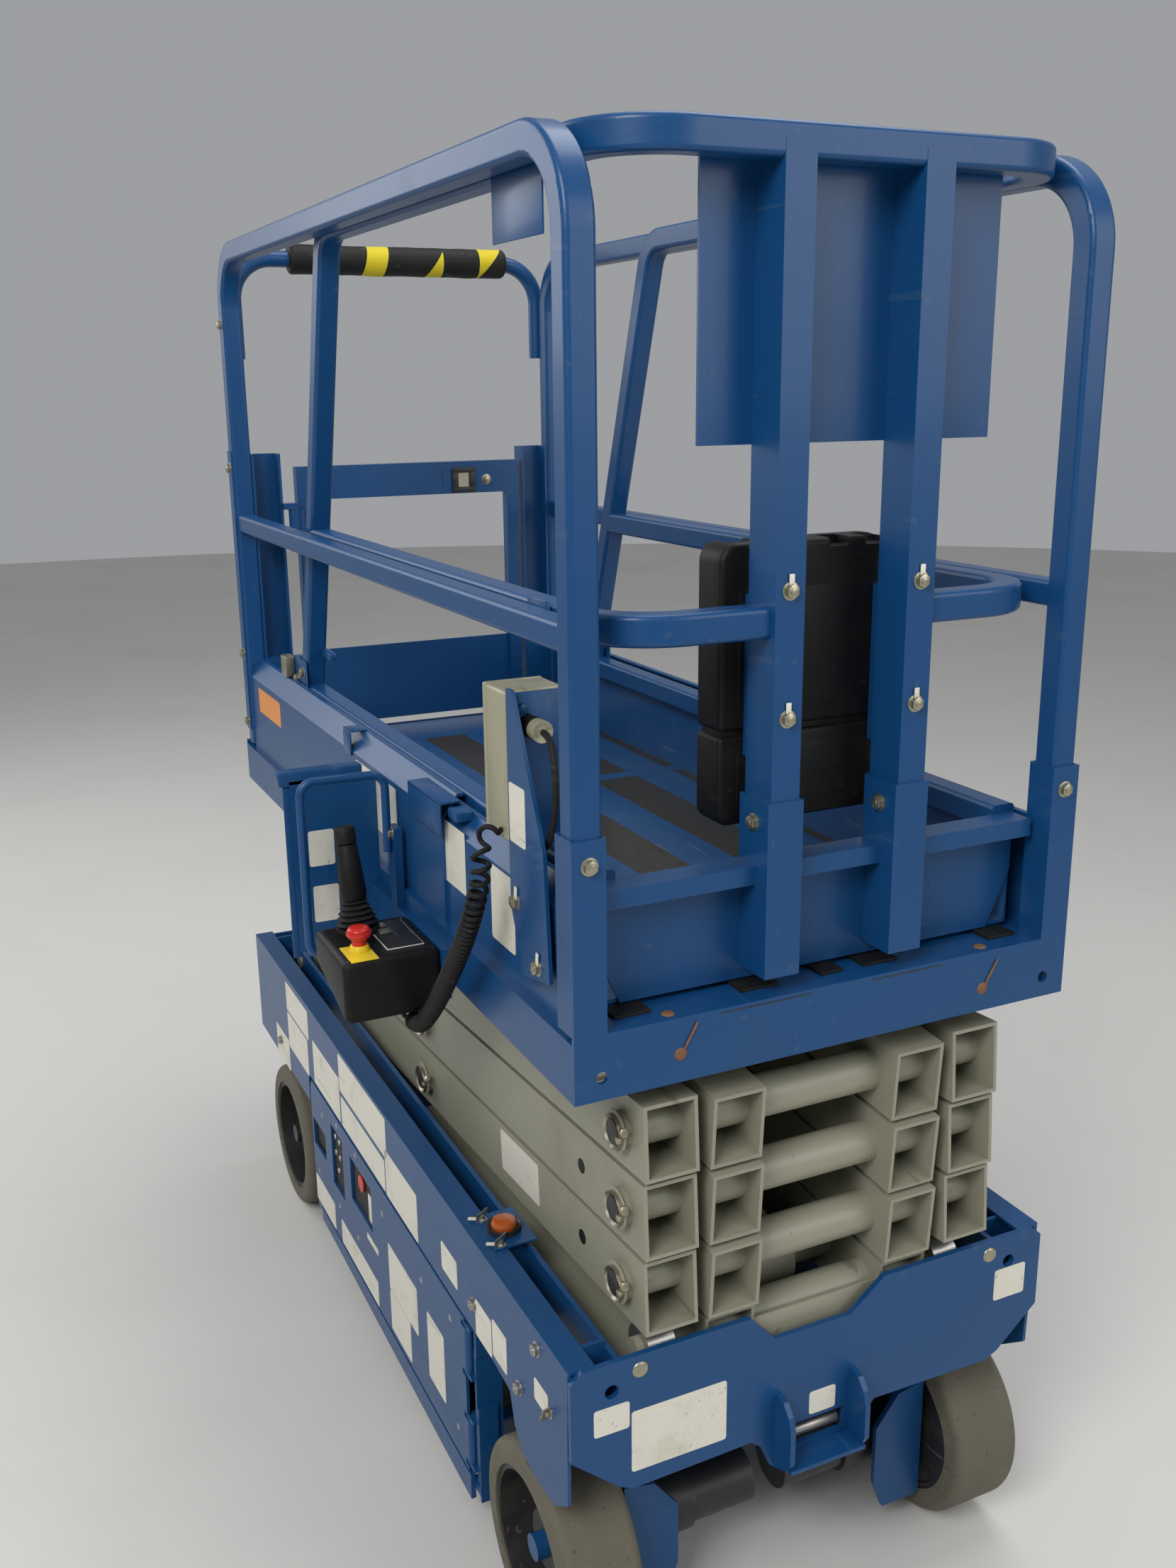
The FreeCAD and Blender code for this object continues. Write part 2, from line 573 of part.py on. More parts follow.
solid = solid.cut(Part.makeCylinder(S["rod_dia"] / 2 + 0.2, reach, Vector(110, 0, 0), Vector(1, 0, 0)))
p_at.y = line_y
shape_node("lift_barrel", solid, p_at, Rotation(Vector(0, 1, 0), 180 + lean))
shaft = Part.makeCylinder(S["rod_dia"] / 2, reach - 130, Vector(130, 0, 0), Vector(1, 0, 0))
eye = Part.makeCylinder(34, 56, Vector(reach, -28, 0), Vector(0, 1, 0))
solid = shaft.fuse(eye).cut(Part.makeCylinder(pin_bore, 100, Vector(reach, -50, 0), Vector(0, 1, 0)))
shape_node("lift_rod", solid.removeSplitter(), p_at, Rotation(Vector(0, 1, 0), 180 + lean))

# Platform: floor and beams, toe boards, corner sockets and entry posts
beam_line = [("plat_half", "beam_low"), ("plat_half", "edge_top"), ("354", "edge_top"),
             ("354", "beam_top-2"), ("346", "beam_top-2"), ("346", "edge_top-6"),
             ("plat_half-6", "edge_top-6"), ("plat_half-6", "beam_low")]
parts = [box("x_front-6", "x_front", "-plat_half", "plat_half", "beam_low", "beam_top"),
         box("x_pr", "x_pr+6", "-plat_half", "plat_half", "beam_low", "beam_top"),
         box("x_pr", "x_front", "-350", "350", "beam_top-6", "beam_top-2"),
         box("x_front-60", "x_front", "-354", "354", "beam_top-6", "beam_top"),
         rod("y", pin_rear, "-302", "top_row", "pin_dia", "604")]
for s in BOTH:
    parts.append(bar(s, beam_line, "x_pr", "plat_len"))
    # lugs of the fixed pivot, the bars the top rollers run under, and the deck's pads
    parts.append(pair_box(s, pin_rear - 40, pin_rear + 40, "290", "302", "top_row-36", "beam_top-5"))
    parts.append(pair_box(s, "30", "880", "294", "338", "top_row+31", "beam_top-5"))
    parts.append(pair_box(s, "800", "846", "285", "deck_half", "beam_top-3", "beam_top+5.7"))
holes = [rod("x", "800", "%d*336" % s, "954", "16", "200") for s in BOTH]
node(cut("platform_frame", fuse("platform_block", parts), holes), "platform_frame")

rear_toe = [("364", "edge_top"), ("364", "toe_top-33"), ("340", "toe_top"), ("330", "toe_top"),
            ("330", "toe_top-4"), ("338", "toe_top-4"), ("359", "toe_top-34"), ("359", "edge_top")]
front_toe = [("359", "edge_top"), ("359", "toe_front-30"), ("338", "toe_front"), ("330", "toe_front"),
             ("330", "toe_front-4"), ("336", "toe_front-4"), ("354", "toe_front-31"), ("354", "edge_top")]
leg_x = "x_pr+32+rail_tube/2"
group("toe_boards", [fuse("toe_board", [bar(s, rear_toe, leg_x + "+0.3", "462-(%s)-0.3" % leg_x),
                                        bar(s, front_toe, "446", "x_front-45-446")])
                     for s in BOTH])
# the front sockets stand on the end beam; the rails' front legs drop into them
sock_in = "deck_half+8.4"
group("corner_sockets", [
    cut("socket", pair_box(s, "x_front-45", "x_front", sock_in, "plat_half", "beam_top", "toe_top+60"),
        [pair_box(s, "x_front-42", "x_front-3", sock_in + "+1.9", "plat_half-3", "beam_top+10",
                  "toe_top+80")]) for s in BOTH])
posts = []
for s in BOTH:
    parts = [pair_box(s, "x_pr", "x_pr+6", "262", "364", "beam_top", "toe_top"),
             cut("channel", pair_box(s, "x_pr+5", "x_pr+47", "270", "330.2", "beam_top", "1612"),
                 [pair_box(s, "x_pr+11", "x_pr+60", "275", "325", "toe_top", "1620")])]
    if s < 0:
        # lugs and pins of the gate hinges, held by the right post
        for z in (1120, 1440):
            parts.append(rod("z", "-gate_x", "-gate_y", z - 12, "gate_pin", 84))
            for zz in (z - 12, z + 60):
                parts.append(box("-gate_x-16", "-gate_x+12", "-gate_y-24", "-gate_y", zz, zz + 12))
                parts.append(rod("z", "-gate_x", "-gate_y", zz, "2*gate_pin", 12))
    posts.append(fuse("entry_post", parts))
group("entry_posts", posts)

# Entry gate: frame, toe plate and hinge knuckles
gx0, gx1 = "-gate_x-39.5", "-gate_x-14.5"
parts = [box(gx0, gx1, "-238", "260", "1516", "1584"), box(gx0, gx1, "-238", "-212", "1030", "1580"),
         box(gx0, gx1, "234", "260", "1030", "1580"),
         box("-gate_x-28", "-gate_x-24", "-225", "250", "1030", "1196")]
for z in (1120, 1440):
    parts.append(rod("z", "-gate_x", "-gate_y", z + 0.3, "2*gate_pin", 59.4))
    parts.append(box("-gate_x-28", "-gate_x+4", "-gate_y", "-gate_y+20", z + 0.3, z + 59.7))
node(cut("entry_gate", fuse("gate_block", parts),
         [rod("z", "-gate_x", "-gate_y", 1100, "gate_pin+2*pin_play", 420)]), "entry_gate")

rt, it = S["rail_tube"], S["inner_tube"]
top = S["rail_top"] - rt / 2
ry = S["plat_wide"] / 2 - 22.5
fx, rx = x_front - 22.5, x_pr + 32
rails = []
for s in BOTH:
    hoop = tube([(fx, s * ry, S["beam_top"] + 10.3), (fx, s * ry, top), (rx, s * ry, top),
                 (rx, s * ry, S["beam_top"])], rt, S["bend_rad"], square=True)
    mid = tube([(fx, s * ry, S["mid_rail"]), (rx, s * ry, S["mid_rail"])], rt - 4, 0, square=True)
    y = s * (ry + rt / 2)
    strap = block(rx - 15, rx + 15, min(y - s, y + s * 3), max(y - s, y + s * 3), 1040, 1620)
    rails.append(hoop.fuse([mid, strap]).removeSplitter())
shape_node("outer_rails", Part.makeCompound(rails))
# hoop across the entry, behind the rails' rear legs, with its foam wrap
hoop_dia = rt - 6
hx = rx - rt / 2 - hoop_dia / 2 - 0.3
loop = tube([(hx, -332, 1800), (hx, -332, top), (hx, 332, top), (hx, 332, 1800)], hoop_dia, 80)
shape_node("entry_hoop", loop)
wrap = Part.makeCylinder(30, 470, Vector(hx, -215, top), Vector(0, 1, 0))
wrap = wrap.cut(Part.makeCylinder(hoop_dia / 2 + 0.1, 500, Vector(hx, -230, top), Vector(0, 1, 0)))
shape_node("foam_wrap", wrap)

# Slide-out deck
parts = [box("-560", "851", "-deck_half", "deck_half", "beam_top+6", "beam_top+11")]
for s in BOTH:
    parts.append(pair_box(s, "-560", "851", "deck_half-4", "deck_half", "beam_top+8", "toe_top-40"))
    parts.append(pair_box(s, "-560", "-500", "285", "deck_half", "beam_top-1.7", "beam_top+7"))
node(fuse("slide_deck", parts), "slide_deck")
POSTS = (-88, 98)
line = [("-318", "1170"), ("318", "1170"), ("318", "1095"), ("282", "beam_top+6"),
        ("-282", "beam_top+6"), ("-318", "1095")]
parts = [plate("yz", line, "851", "4"),
         box("854", "890", "-318", "318", "toe_front-4", "toe_front"),
         box("886", "890", "-318", "318", "toe_front-24", "toe_front"),
         box("851", "855", "-318", "318", "1169", "toe_front")]
for y in POSTS:
    parts.append(box("849.5", "x_front-0.5", y - 25, y + 25, "beam_top+25", "toe_top+70"))
node(cut("deck_front", fuse("deck_front_block", parts), [
    box("852.7", "912.3", y - 20.3, y + 20.3, "beam_top+28", "toe_top+80") for y in POSTS]),
    "deck_front")
iy, itop = S["inner_y"], top - 2
foot_z, deck_x = S["toe_top"] - 2 - it / 2, 851
hoop = tube([(-436, -iy, foot_z + 6), (-160, -iy, itop), (fx, -iy, itop), (fx, iy, itop),
             (-160, iy, itop), (-436, iy, foot_z + 6)], it, [60, 90, 90, 60], square=True)
more = [block(deck_x - 1, deck_x + 3, -180, 235, 1675, itop)]
for y in POSTS:
    more.append(block(853, 912, y - 20, y + 20, S["beam_top"] + 28.3, itop))
    # stubs that hold the document box
    more.append(block(830.3, 854, y - 10, y + 10, 1300, 1500))
mid_x = -436 + 276 * (S["mid_rail"] - foot_z - 6) / (itop - foot_z - 6)
for s, y in zip(BOTH, POSTS):
    more.append(tube([(mid_x, s * iy, S["mid_rail"]), (fx - 8, s * iy, S["mid_rail"]),
                      (fx - 8, y, S["mid_rail"])], it, 90, square=True))
    more.append(tube([(-460, s * iy, foot_z), (deck_x, s * iy, foot_z)], it, 0, square=True))
shape_node("slide_rails", hoop.fuse(more).removeSplitter())
shape_node("document_box", block(772, 830, -132, 121, 1210, 1560))

# Platform controls on the right side
out = -S["plat_wide"] / 2
far = out - S["box_out"]
parts = [block(180, 500, out - 12.7, out - 0.3, 900, 975),
         block(175, 181, far + 17, out - 0.3, 880, 1160),
         block(272, 302, out - 12.7, out - 0.3, 970, 1100),
         tube([(287, out - 19, 1062), (287, out - 19, 1184), (287, far + 6.5, 1186),
               (287, far + 6.5, 915), (287, out - 11, 915)], 13, 22)]
bracket = parts[0].fuse(parts[1:]).removeSplitter()
line = [(735, 1118), (735, 1394), (752, 1394), (798, 1299), (838, 1215), (850, 1055), (772, 1038)]
face = Part.Face(Part.makePolygon([Vector(x, out - 1, z) for x, z in line + line[:1]]))
panel = face.extrude(Vector(0, 5, 0))
spacers = [Part.makeCylinder(10, 10.7, Vector(x, out + 2, z), Vector(0, 1, 0))
           for x, z in ((760, 1120), (815, 1070))]
shape_node("side_brackets", Part.makeCompound([bracket, panel.fuse(spacers).removeSplitter()]))
box_line = [(345, 930), (498, 885), (498, 981), (345, 981)]
face = Part.Face(Part.makePolygon([Vector(x, far, z) for x, z in box_line + box_line[:1]]))
shape_node("control_box", face.extrude(Vector(0, out - 13 - far, 0)))
stick = Part.makeCone(27, 15, 62, Vector(398, out - 108, 981))
grip = Part.makeCylinder(14, 120, Vector(398, out - 108, 1022))
stop = Part.makeCylinder(18, 34, Vector(448, out - 115, 981))
shape_node("box_controls", Part.makeCompound([stick.fuse(grip), stop]))
shape_node("junction_box", block(662, 735, out - 3, out + 77, 1200, 1390))
side = out - 48
cord = tube([(444, side, 896), (444, side, 862), (492, side, 862), (560, side, 918),
             (640, side - 1, 1002), (706, side + 1, 1085), (738, side + 9, 1165),
             (718, side + 14, 1214), (718, out - 3.3, 1214)], S["cord_dia"], 60)
shape_node("coiled_cord", cord)

# Check and write
doc.recompute()
bad = []
for obj in doc.Objects:
    if "Invalid" in obj.State or "Error" in obj.State:
        bad.append(obj.Name + " " + obj.Label)
for obj in made:
    if obj.Shape.isNull() or not obj.Shape.isValid() or not obj.Shape.Solids:
        bad.append(obj.Label + " has no valid solid")
if bad:
    raise RuntimeError("not built: " + ", ".join(bad))
for obj in made:
    obj.Shape.exportStep("parts/%s.step" % obj.Label)
print("pins", round(pin_rear, 3), round(pin_mid, 3), "tilt", round(tilt, 4), "line", line_y)
print("cylinder", [round(v, 3) for v in (p_at.x, p_at.z, q_at.x, q_at.z)], "reach", round(reach, 2))
total = made[0].Shape.BoundBox
for obj in made:
    total.add(obj.Shape.BoundBox)
    print("%-18s solids %d volume %.0f" % (obj.Label, len(obj.Shape.Solids), obj.Shape.Volume))
print(len(made), "nodes", total)
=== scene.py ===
# %% [markdown]
# # A slab scissor lift with a slide-out deck
# The machine's solids come from a CAD model. This notebook gives every one of them a finish,
# and adds what a CAD model leaves out: bolts, pins, blank plates, a curly cord, soft foam,
# switches and lamps. Lengths are metres, +X points to the steered wheels and +Z up.

# %% Load the frame
import math

import bpy
from mathutils import Matrix, Vector


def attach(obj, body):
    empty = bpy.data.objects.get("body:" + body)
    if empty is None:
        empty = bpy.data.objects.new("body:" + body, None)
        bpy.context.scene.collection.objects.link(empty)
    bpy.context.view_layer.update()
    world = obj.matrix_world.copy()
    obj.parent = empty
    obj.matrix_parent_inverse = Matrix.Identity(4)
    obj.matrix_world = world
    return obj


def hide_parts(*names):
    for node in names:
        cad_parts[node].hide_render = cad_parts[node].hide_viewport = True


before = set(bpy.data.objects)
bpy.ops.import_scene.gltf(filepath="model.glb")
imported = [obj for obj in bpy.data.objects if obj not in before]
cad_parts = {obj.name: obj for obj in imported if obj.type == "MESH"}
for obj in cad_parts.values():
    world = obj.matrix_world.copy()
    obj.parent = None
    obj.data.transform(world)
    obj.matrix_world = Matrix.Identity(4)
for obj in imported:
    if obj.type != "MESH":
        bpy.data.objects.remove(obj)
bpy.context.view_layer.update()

# %% [markdown]
# The control box hangs on one side, so the machine's own middle line lies beside the origin.
# Every place below is given as distances from that middle line, as a fitter would measure it,
# and `at` turns it into a place in the scene.

# %% The machine's middle line
LINE = 0.0735


def at(x, y, z):
    return Vector((x, y + LINE, z))


# %% [markdown]
# The camera is the photograph's own. Its place and turn were found by matching corners of the
# machine whose places are known, so a piece that sits right in CAD also lands on its picture.

# %% Camera
right, up = Vector((0.43079, 0.90238, -0.01093)), Vector((-0.23576, 0.12423, 0.96384))
back = Vector((0.87111, -0.41264, 0.26627))
eye = bpy.data.cameras.new("photo_view")
eye.sensor_fit, eye.sensor_height, eye.lens = "VERTICAL", 36.0, 33.27
camera = bpy.data.objects.new("photo_view", eye)
bpy.context.scene.collection.objects.link(camera)
camera.matrix_world = Matrix.Translation(at(2.31541, -1.01348, 1.74435)) @ Matrix(
    (right, up, back)).transposed().to_4x4()
bpy.context.scene.camera = camera
print("camera with a lens of", eye.lens, "mm")

# %% [markdown]
# Glossy paint shows its shape by what it mirrors. Four broad soft lamps, the strongest of them on
# the camera's side, give the rails long highlights, and a pale world fills the shadows. Small
# lamps would give hard spots instead. The floor is a plain disc.

# %% Floor, lamps and world
bpy.context.scene.view_settings.view_transform = "Standard"


def clear():
    bpy.ops.object.select_all(action="DESELECT")


clear()
bpy.ops.mesh.primitive_circle_add(vertices=96, radius=14, fill_type="NGON", location=(0, 0, -0.002))
floor = bpy.context.object
floor.name = floor.data.name = "floor"
LAMPS = [  # name, place, size, watts
    ("key", (3.2, -3.4, 4.4), 2.2, 190),
    ("fill", (-3.6, -2.6, 3.2), 3.0, 70),
    ("front", (4.5, 2.6, 3.0), 3.0, 75),
    ("top", (0.0, 1.2, 5.2), 2.6, 90),
]
for name, place, size, watts in LAMPS:
    lamp = bpy.data.lights.new(name, "AREA")
    lamp.size, lamp.energy = size, watts
    holder = bpy.data.objects.new(name, lamp)
    holder.location = place
    holder.rotation_euler = (Vector((0, 0, 0.9)) - Vector(place)).to_track_quat("-Z", "Y").to_euler()
    bpy.context.scene.collection.objects.link(holder)
world = bpy.data.worlds.new("studio")
world.use_nodes = True
bpy.context.scene.world = world
sky = world.node_tree.nodes["Background"]
sky.inputs["Color"].default_value = (0.80, 0.82, 0.85, 1)
sky.inputs["Strength"].default_value = 0.42
print(len(LAMPS), "lamps")

# %% [markdown]
# Paint, plastic and rubber share the same small faults: a fine grain, dull patches where hands
# and boots rub, and thin scratches. Each fault is one shader node group, built once, so all
# the finishes below can use it with their own values.

# %% Shared effects
def group(name, inputs, outputs):
    tree = bpy.data.node_groups.new(name, "ShaderNodeTree")
    for label, kind, value in inputs:
        socket = tree.interface.new_socket(label, in_out="INPUT", socket_type="NodeSocket" + kind)
        if value is not None:
            socket.default_value = value
    for label, kind in outputs:
        tree.interface.new_socket(label, in_out="OUTPUT", socket_type="NodeSocket" + kind)
    return tree, tree.nodes.new("NodeGroupInput"), tree.nodes.new("NodeGroupOutput")


def add(tree, kind, links=None, **values):
    """A node with its values, its inputs linked from the sockets given."""
    node = tree.nodes.new(kind)
    for key, value in values.items():
        setattr(node, key, value)
    for key, value in (links or {}).items():
        if isinstance(value, bpy.types.NodeSocket):
            tree.links.new(value, node.inputs[key])
        else:
            node.inputs[key].default_value = value
    return node


def reckon(tree, operation, *values):
    """The result of one Math node."""
    return add(tree, "ShaderNodeMath", dict(enumerate(values)), operation=operation).outputs[0]


# patches: soft-edged areas, 0 to 1
EDGE_WIDTH = 0.28  # of the noise's own range
patches, gin, gout = group("rubbed patches", [("Vector", "Vector", None), ("Scale", "Float", 6.0),
                                              ("Cover", "Float", 0.5)], [("Mask", "Float")])
big = add(patches, "ShaderNodeTexNoise", {"Vector": gin.outputs["Vector"], "Scale": gin.outputs["Scale"],
                                          "Detail": 8.0, "Roughness": 0.65})
edge = reckon(patches, "SUBTRACT", 1.0, gin.outputs["Cover"])
ramp = add(patches, "ShaderNodeMapRange", {"Value": big.outputs["Fac"], "From Min": edge,
                                           "From Max": reckon(patches, "ADD", edge, EDGE_WIDTH)})
patches.links.new(ramp.outputs[0], gout.inputs["Mask"])

# scratches: thin broken lines at two angles; the mask rises to 1 between two values of the noise
THIN = (0.69, 0.72)
scratches, gin, gout = group("thin scratches", [("Vector", "Vector", None), ("Scale", "Float", 5.0),
                                                ("Amount", "Float", 0.5)], [("Mask", "Float")])
masks = []
for turn in ((0.3, 0.9, 0.5), (1.2, -0.4, 2.0)):
    spun = add(scratches, "ShaderNodeMapping", {"Vector": gin.outputs["Vector"], "Rotation": turn,
                                                "Scale": (1.0, 14.0, 14.0)})
    line = add(scratches, "ShaderNodeTexNoise", {"Vector": spun.outputs[0], "Scale": gin.outputs["Scale"],
                                                 "Detail": 3.0, "Distortion": 0.3})
    band = add(scratches, "ShaderNodeMapRange", {"Value": line.outputs["Fac"], "From Min": THIN[0],
                                                 "From Max": THIN[1]})
    masks.append(band.outputs[0])
some = reckon(scratches, "MULTIPLY", reckon(scratches, "MAXIMUM", *masks), gin.outputs["Amount"])
scratches.links.new(some, gout.inputs["Mask"])

# grain: the fine bumps of sprayed paint or moulded plastic
grain, gin, gout = group("fine grain", [("Vector", "Vector", None), ("Scale", "Float", 300.0)],
                         [("Height", "Float")])
fine = add(grain, "ShaderNodeTexNoise", {"Vector": gin.outputs["Vector"], "Scale": gin.outputs["Scale"],
                                         "Detail": 2.0})
grain.links.new(fine.outputs["Fac"], gout.inputs["Height"])
print(len(bpy.data.node_groups), "shared effects")

# %% [markdown]
# A finish is one Principled shader. Its colour goes from the fresh colour to a worn one in the
# patches and to a third one in the scratches. The patches are duller too, as rubbed paint is.

# %% A finish with wear
def shared(tree, which, vector, **values):
    node = tree.nodes.new("ShaderNodeGroup")
    node.node_tree = which
    tree.links.new(vector, node.inputs["Vector"])
    for key, value in values.items():
        node.inputs[key].default_value = value
    return node.outputs[0]


def mix(tree, mask, a, b):
    node = add(tree, "ShaderNodeMix", data_type="RGBA")
    for key, value in (("Factor", mask), ("A", a), ("B", b)):
        socket = [s for s in node.inputs if s.name == key and (key == "Factor" or s.type == "RGBA")][0]
        if isinstance(value, bpy.types.NodeSocket):
            tree.links.new(value, socket)
        else:
            socket.default_value = value if key == "Factor" else (*value, 1)
    return [s for s in node.outputs if s.type == "RGBA"][0]


def finish(name, colour, worn, scored, rough=(0.3, 0.5), metal=0.0, coat=0.0, patch=(5.0, 0.5),
           scratch=(4.0, 0.5), bump=(350.0, 0.03), extra=None, shine=0.5):
    """A material from three colours: fresh, rubbed and scratched.

    rough is for fresh and rubbed paint, patch and scratch are how fine and how frequent a fault
    is, bump how fine and strong the grain is; extra may lay a pattern over the colour.
    """
    material = bpy.data.materials.new(name)
    material.use_nodes = True
    tree = material.node_tree
    shader = tree.nodes["Principled BSDF"]
    vector = add(tree, "ShaderNodeTexCoord").outputs["Object"]
    rubbed = shared(tree, patches, vector, Scale=patch[0], Cover=patch[1])
    cut = shared(tree, scratches, vector, Scale=scratch[0], Amount=scratch[1])
    shown = mix(tree, cut, mix(tree, rubbed, colour, worn), scored)
    if extra:
        shown = extra(tree, vector, shown)
    tree.links.new(shown, shader.inputs["Base Color"])
    dull = add(tree, "ShaderNodeMapRange", {"Value": rubbed, "To Min": rough[0], "To Max": rough[1]})
    tree.links.new(dull.outputs[0], shader.inputs["Roughness"])
    raised = add(tree, "ShaderNodeBump", {"Height": shared(tree, grain, vector, Scale=bump[0]),
                                          "Strength": bump[1], "Distance": 0.002})
    tree.links.new(raised.outputs[0], shader.inputs["Normal"])
    shader.inputs["Metallic"].default_value = metal
    shader.inputs["Coat Weight"].default_value = coat
    shader.inputs["Specular IOR Level"].default_value = shine
    shader.inputs["Coat Roughness"].default_value = 0.12
    return material


BLUE = (0.005, 0.056, 0.170)
blue = finish("blue_paint", BLUE, (0.011, 0.060, 0.148), (0.05, 0.10, 0.17), rough=(0.36, 0.52), coat=0.1,
              patch=(3.0, 0.42), scratch=(3.0, 0.3), bump=(260.0, 0.06), shine=0.32)
grey = finish("grey_paint", (0.262, 0.256, 0.192), (0.198, 0.190, 0.138), (0.13, 0.115, 0.085),
              rough=(0.42, 0.62), patch=(2.6, 0.46), scratch=(2.0, 0.5), bump=(220.0, 0.08))
black = finish("black_paint", (0.016, 0.016, 0.017), (0.045, 0.042, 0.036), (0.12, 0.11, 0.09),
               rough=(0.45, 0.75), bump=(300.0, 0.08))
plastic = finish("black_plastic", (0.006, 0.006, 0.006), (0.014, 0.013, 0.011), (0.04, 0.037, 0.03),
                 rough=(0.46, 0.62), patch=(6.0, 0.5), scratch=(4.0, 0.25), bump=(900.0, 0.18), shine=0.22)
rubber = finish("black_rubber", (0.008, 0.008, 0.008), (0.02, 0.019, 0.017), (0.05, 0.05, 0.05),
                rough=(0.6, 0.8), patch=(9.0, 0.5), bump=(500.0, 0.1), shine=0.25)
zinc = finish("yellow_zinc", (0.40, 0.37, 0.27), (0.31, 0.29, 0.22), (0.22, 0.15, 0.09),
              rough=(0.34, 0.55), metal=0.9, patch=(60.0, 0.5), scratch=(30.0, 0.3), bump=(600.0, 0.08))
steel = finish("bare_steel", (0.42, 0.41, 0.39), (0.26, 0.22, 0.18), (0.6, 0.6, 0.6),
               rough=(0.3, 0.55), metal=0.9, patch=(14.0, 0.5), bump=(400.0, 0.06))
chrome = finish("hard_chrome", (0.75, 0.76, 0.78), (0.6, 0.6, 0.6), (0.45, 0.45, 0.45),
                rough=(0.08, 0.2), metal=1.0, patch=(10.0, 0.35), bump=(200.0, 0.01))
beige = finish("beige_plastic", (0.30, 0.29, 0.195), (0.22, 0.21, 0.14), (0.15, 0.135, 0.095),
               rough=(0.35, 0.55), patch=(9.0, 0.5), bump=(500.0, 0.06))
red = finish("red_plastic", (0.55, 0.02, 0.012), (0.38, 0.02, 0.015), (0.6, 0.2, 0.15),
             rough=(0.25, 0.45), patch=(20.0, 0.4), bump=(400.0, 0.03))
yellow = finish("yellow_enamel", (0.78, 0.55, 0.02), (0.6, 0.42, 0.03), (0.3, 0.22, 0.05),
                rough=(0.35, 0.5), patch=(20.0, 0.45), bump=(400.0, 0.04))
rust = finish("rusted_steel", (0.17, 0.075, 0.035), (0.26, 0.14, 0.075), (0.3, 0.26, 0.2),
              rough=(0.7, 0.85), patch=(60.0, 0.5), bump=(500.0, 0.2))
amber = finish("amber_lens", (0.40, 0.085, 0.013), (0.27, 0.055, 0.010), (0.5, 0.25, 0.08),
               rough=(0.14, 0.3), coat=0.6, patch=(30.0, 0.45), bump=(300.0, 0.04))
white = finish("white_film", (0.66, 0.635, 0.545), (0.50, 0.465, 0.37), (0.32, 0.29, 0.23),
               rough=(0.32, 0.5), patch=(16.0, 0.48), scratch=(9.0, 0.7), bump=(300.0, 0.03))
orange = finish("orange_film", (0.72, 0.26, 0.05), (0.55, 0.2, 0.05), (0.4, 0.2, 0.1),
                rough=(0.35, 0.5), patch=(18.0, 0.45), scratch=(9.0, 0.5), bump=(300.0, 0.03))
tyre = finish("solid_tyre", (0.110, 0.099, 0.070), (0.168, 0.152, 0.110), (0.05, 0.046, 0.037),
              rough=(0.75, 0.92), patch=(12.0, 0.5), scratch=(9.0, 0.9), bump=(160.0, 0.35))
print(len(bpy.data.materials), "plain finishes")

# %% [markdown]
# Two finishes carry a pattern. The deck's sheet is blue with black grit strips that run along
# it, and the foam on the entry hoop is black with slanted yellow bands. Both patterns are
# reckoned from the place on the piece, so they need no picture.

# %% Deck strips and foam bands
def bands(tree, vector, axis, period, share, shift):
    """1 in the first share of every period along one axis, counted from minus shift periods."""
    parts = add(tree, "ShaderNodeSeparateXYZ", {"Vector": vector})
    moved = reckon(tree, "MULTIPLY_ADD", parts.outputs[axis], 1 / period, shift)
    return reckon(tree, "LESS_THAN", reckon(tree, "FRACT", moved), share)


SHEET_TOP = 1.0212  # the grit lies on the sheet and not on what stands up from it
ROW_PITCH, ROW_SHARE = 0.170, 0.53  # from row to row of pads, and how much of that a pad fills
PAD_X, PAD_GAP = (-0.54, 0.466), (-0.10, -0.063)  # the rows' two ends, and the gap between the pads
FAR = 10.0  # a period longer than the deck, so that its band shows once


def grit_strips(tree, vector, colour):
    """Rows of grit pads on the sheet, cut off at their ends and in the gap."""
    low = add(tree, "ShaderNodeSeparateXYZ", {"Vector": vector}).outputs[2]
    flat = reckon(tree, "LESS_THAN", low, SHEET_TOP)
    rows = bands(tree, vector, 1, ROW_PITCH, ROW_SHARE, ROW_SHARE / 2 - LINE / ROW_PITCH)
    gap = bands(tree, vector, 0, FAR, (PAD_GAP[1] - PAD_GAP[0]) / FAR, -PAD_GAP[0] / FAR)
    span = bands(tree, vector, 0, FAR, (PAD_X[1] - PAD_X[0]) / FAR, -PAD_X[0] / FAR)
    strip = reckon(tree, "MULTIPLY", reckon(tree, "MULTIPLY", rows, span), reckon(tree, "SUBTRACT", 1.0, gap))
    mask = reckon(tree, "MULTIPLY", flat, strip)
    speck = add(tree, "ShaderNodeTexNoise", {"Vector": vector, "Scale": 700.0})
    dots = add(tree, "ShaderNodeMapRange", {"Value": speck.outputs["Fac"], "From Min": 0.45,
                                            "From Max": 0.75}).outputs[0]
    grit = mix(tree, dots, (0.012, 0.011, 0.008), (0.085, 0.073, 0.045))
    return mix(tree, mask, colour, grit)


# pieces of yellow tape: from, to, and how far each edge leans with height over the hoop's line
TAPE = [(-0.063, -0.017, 0.2, 0.2), (0.078, 0.111, 0.72, 0.0), (0.192, 0.199, 0.0, 0.85)]
HOOP_Z = 1.97


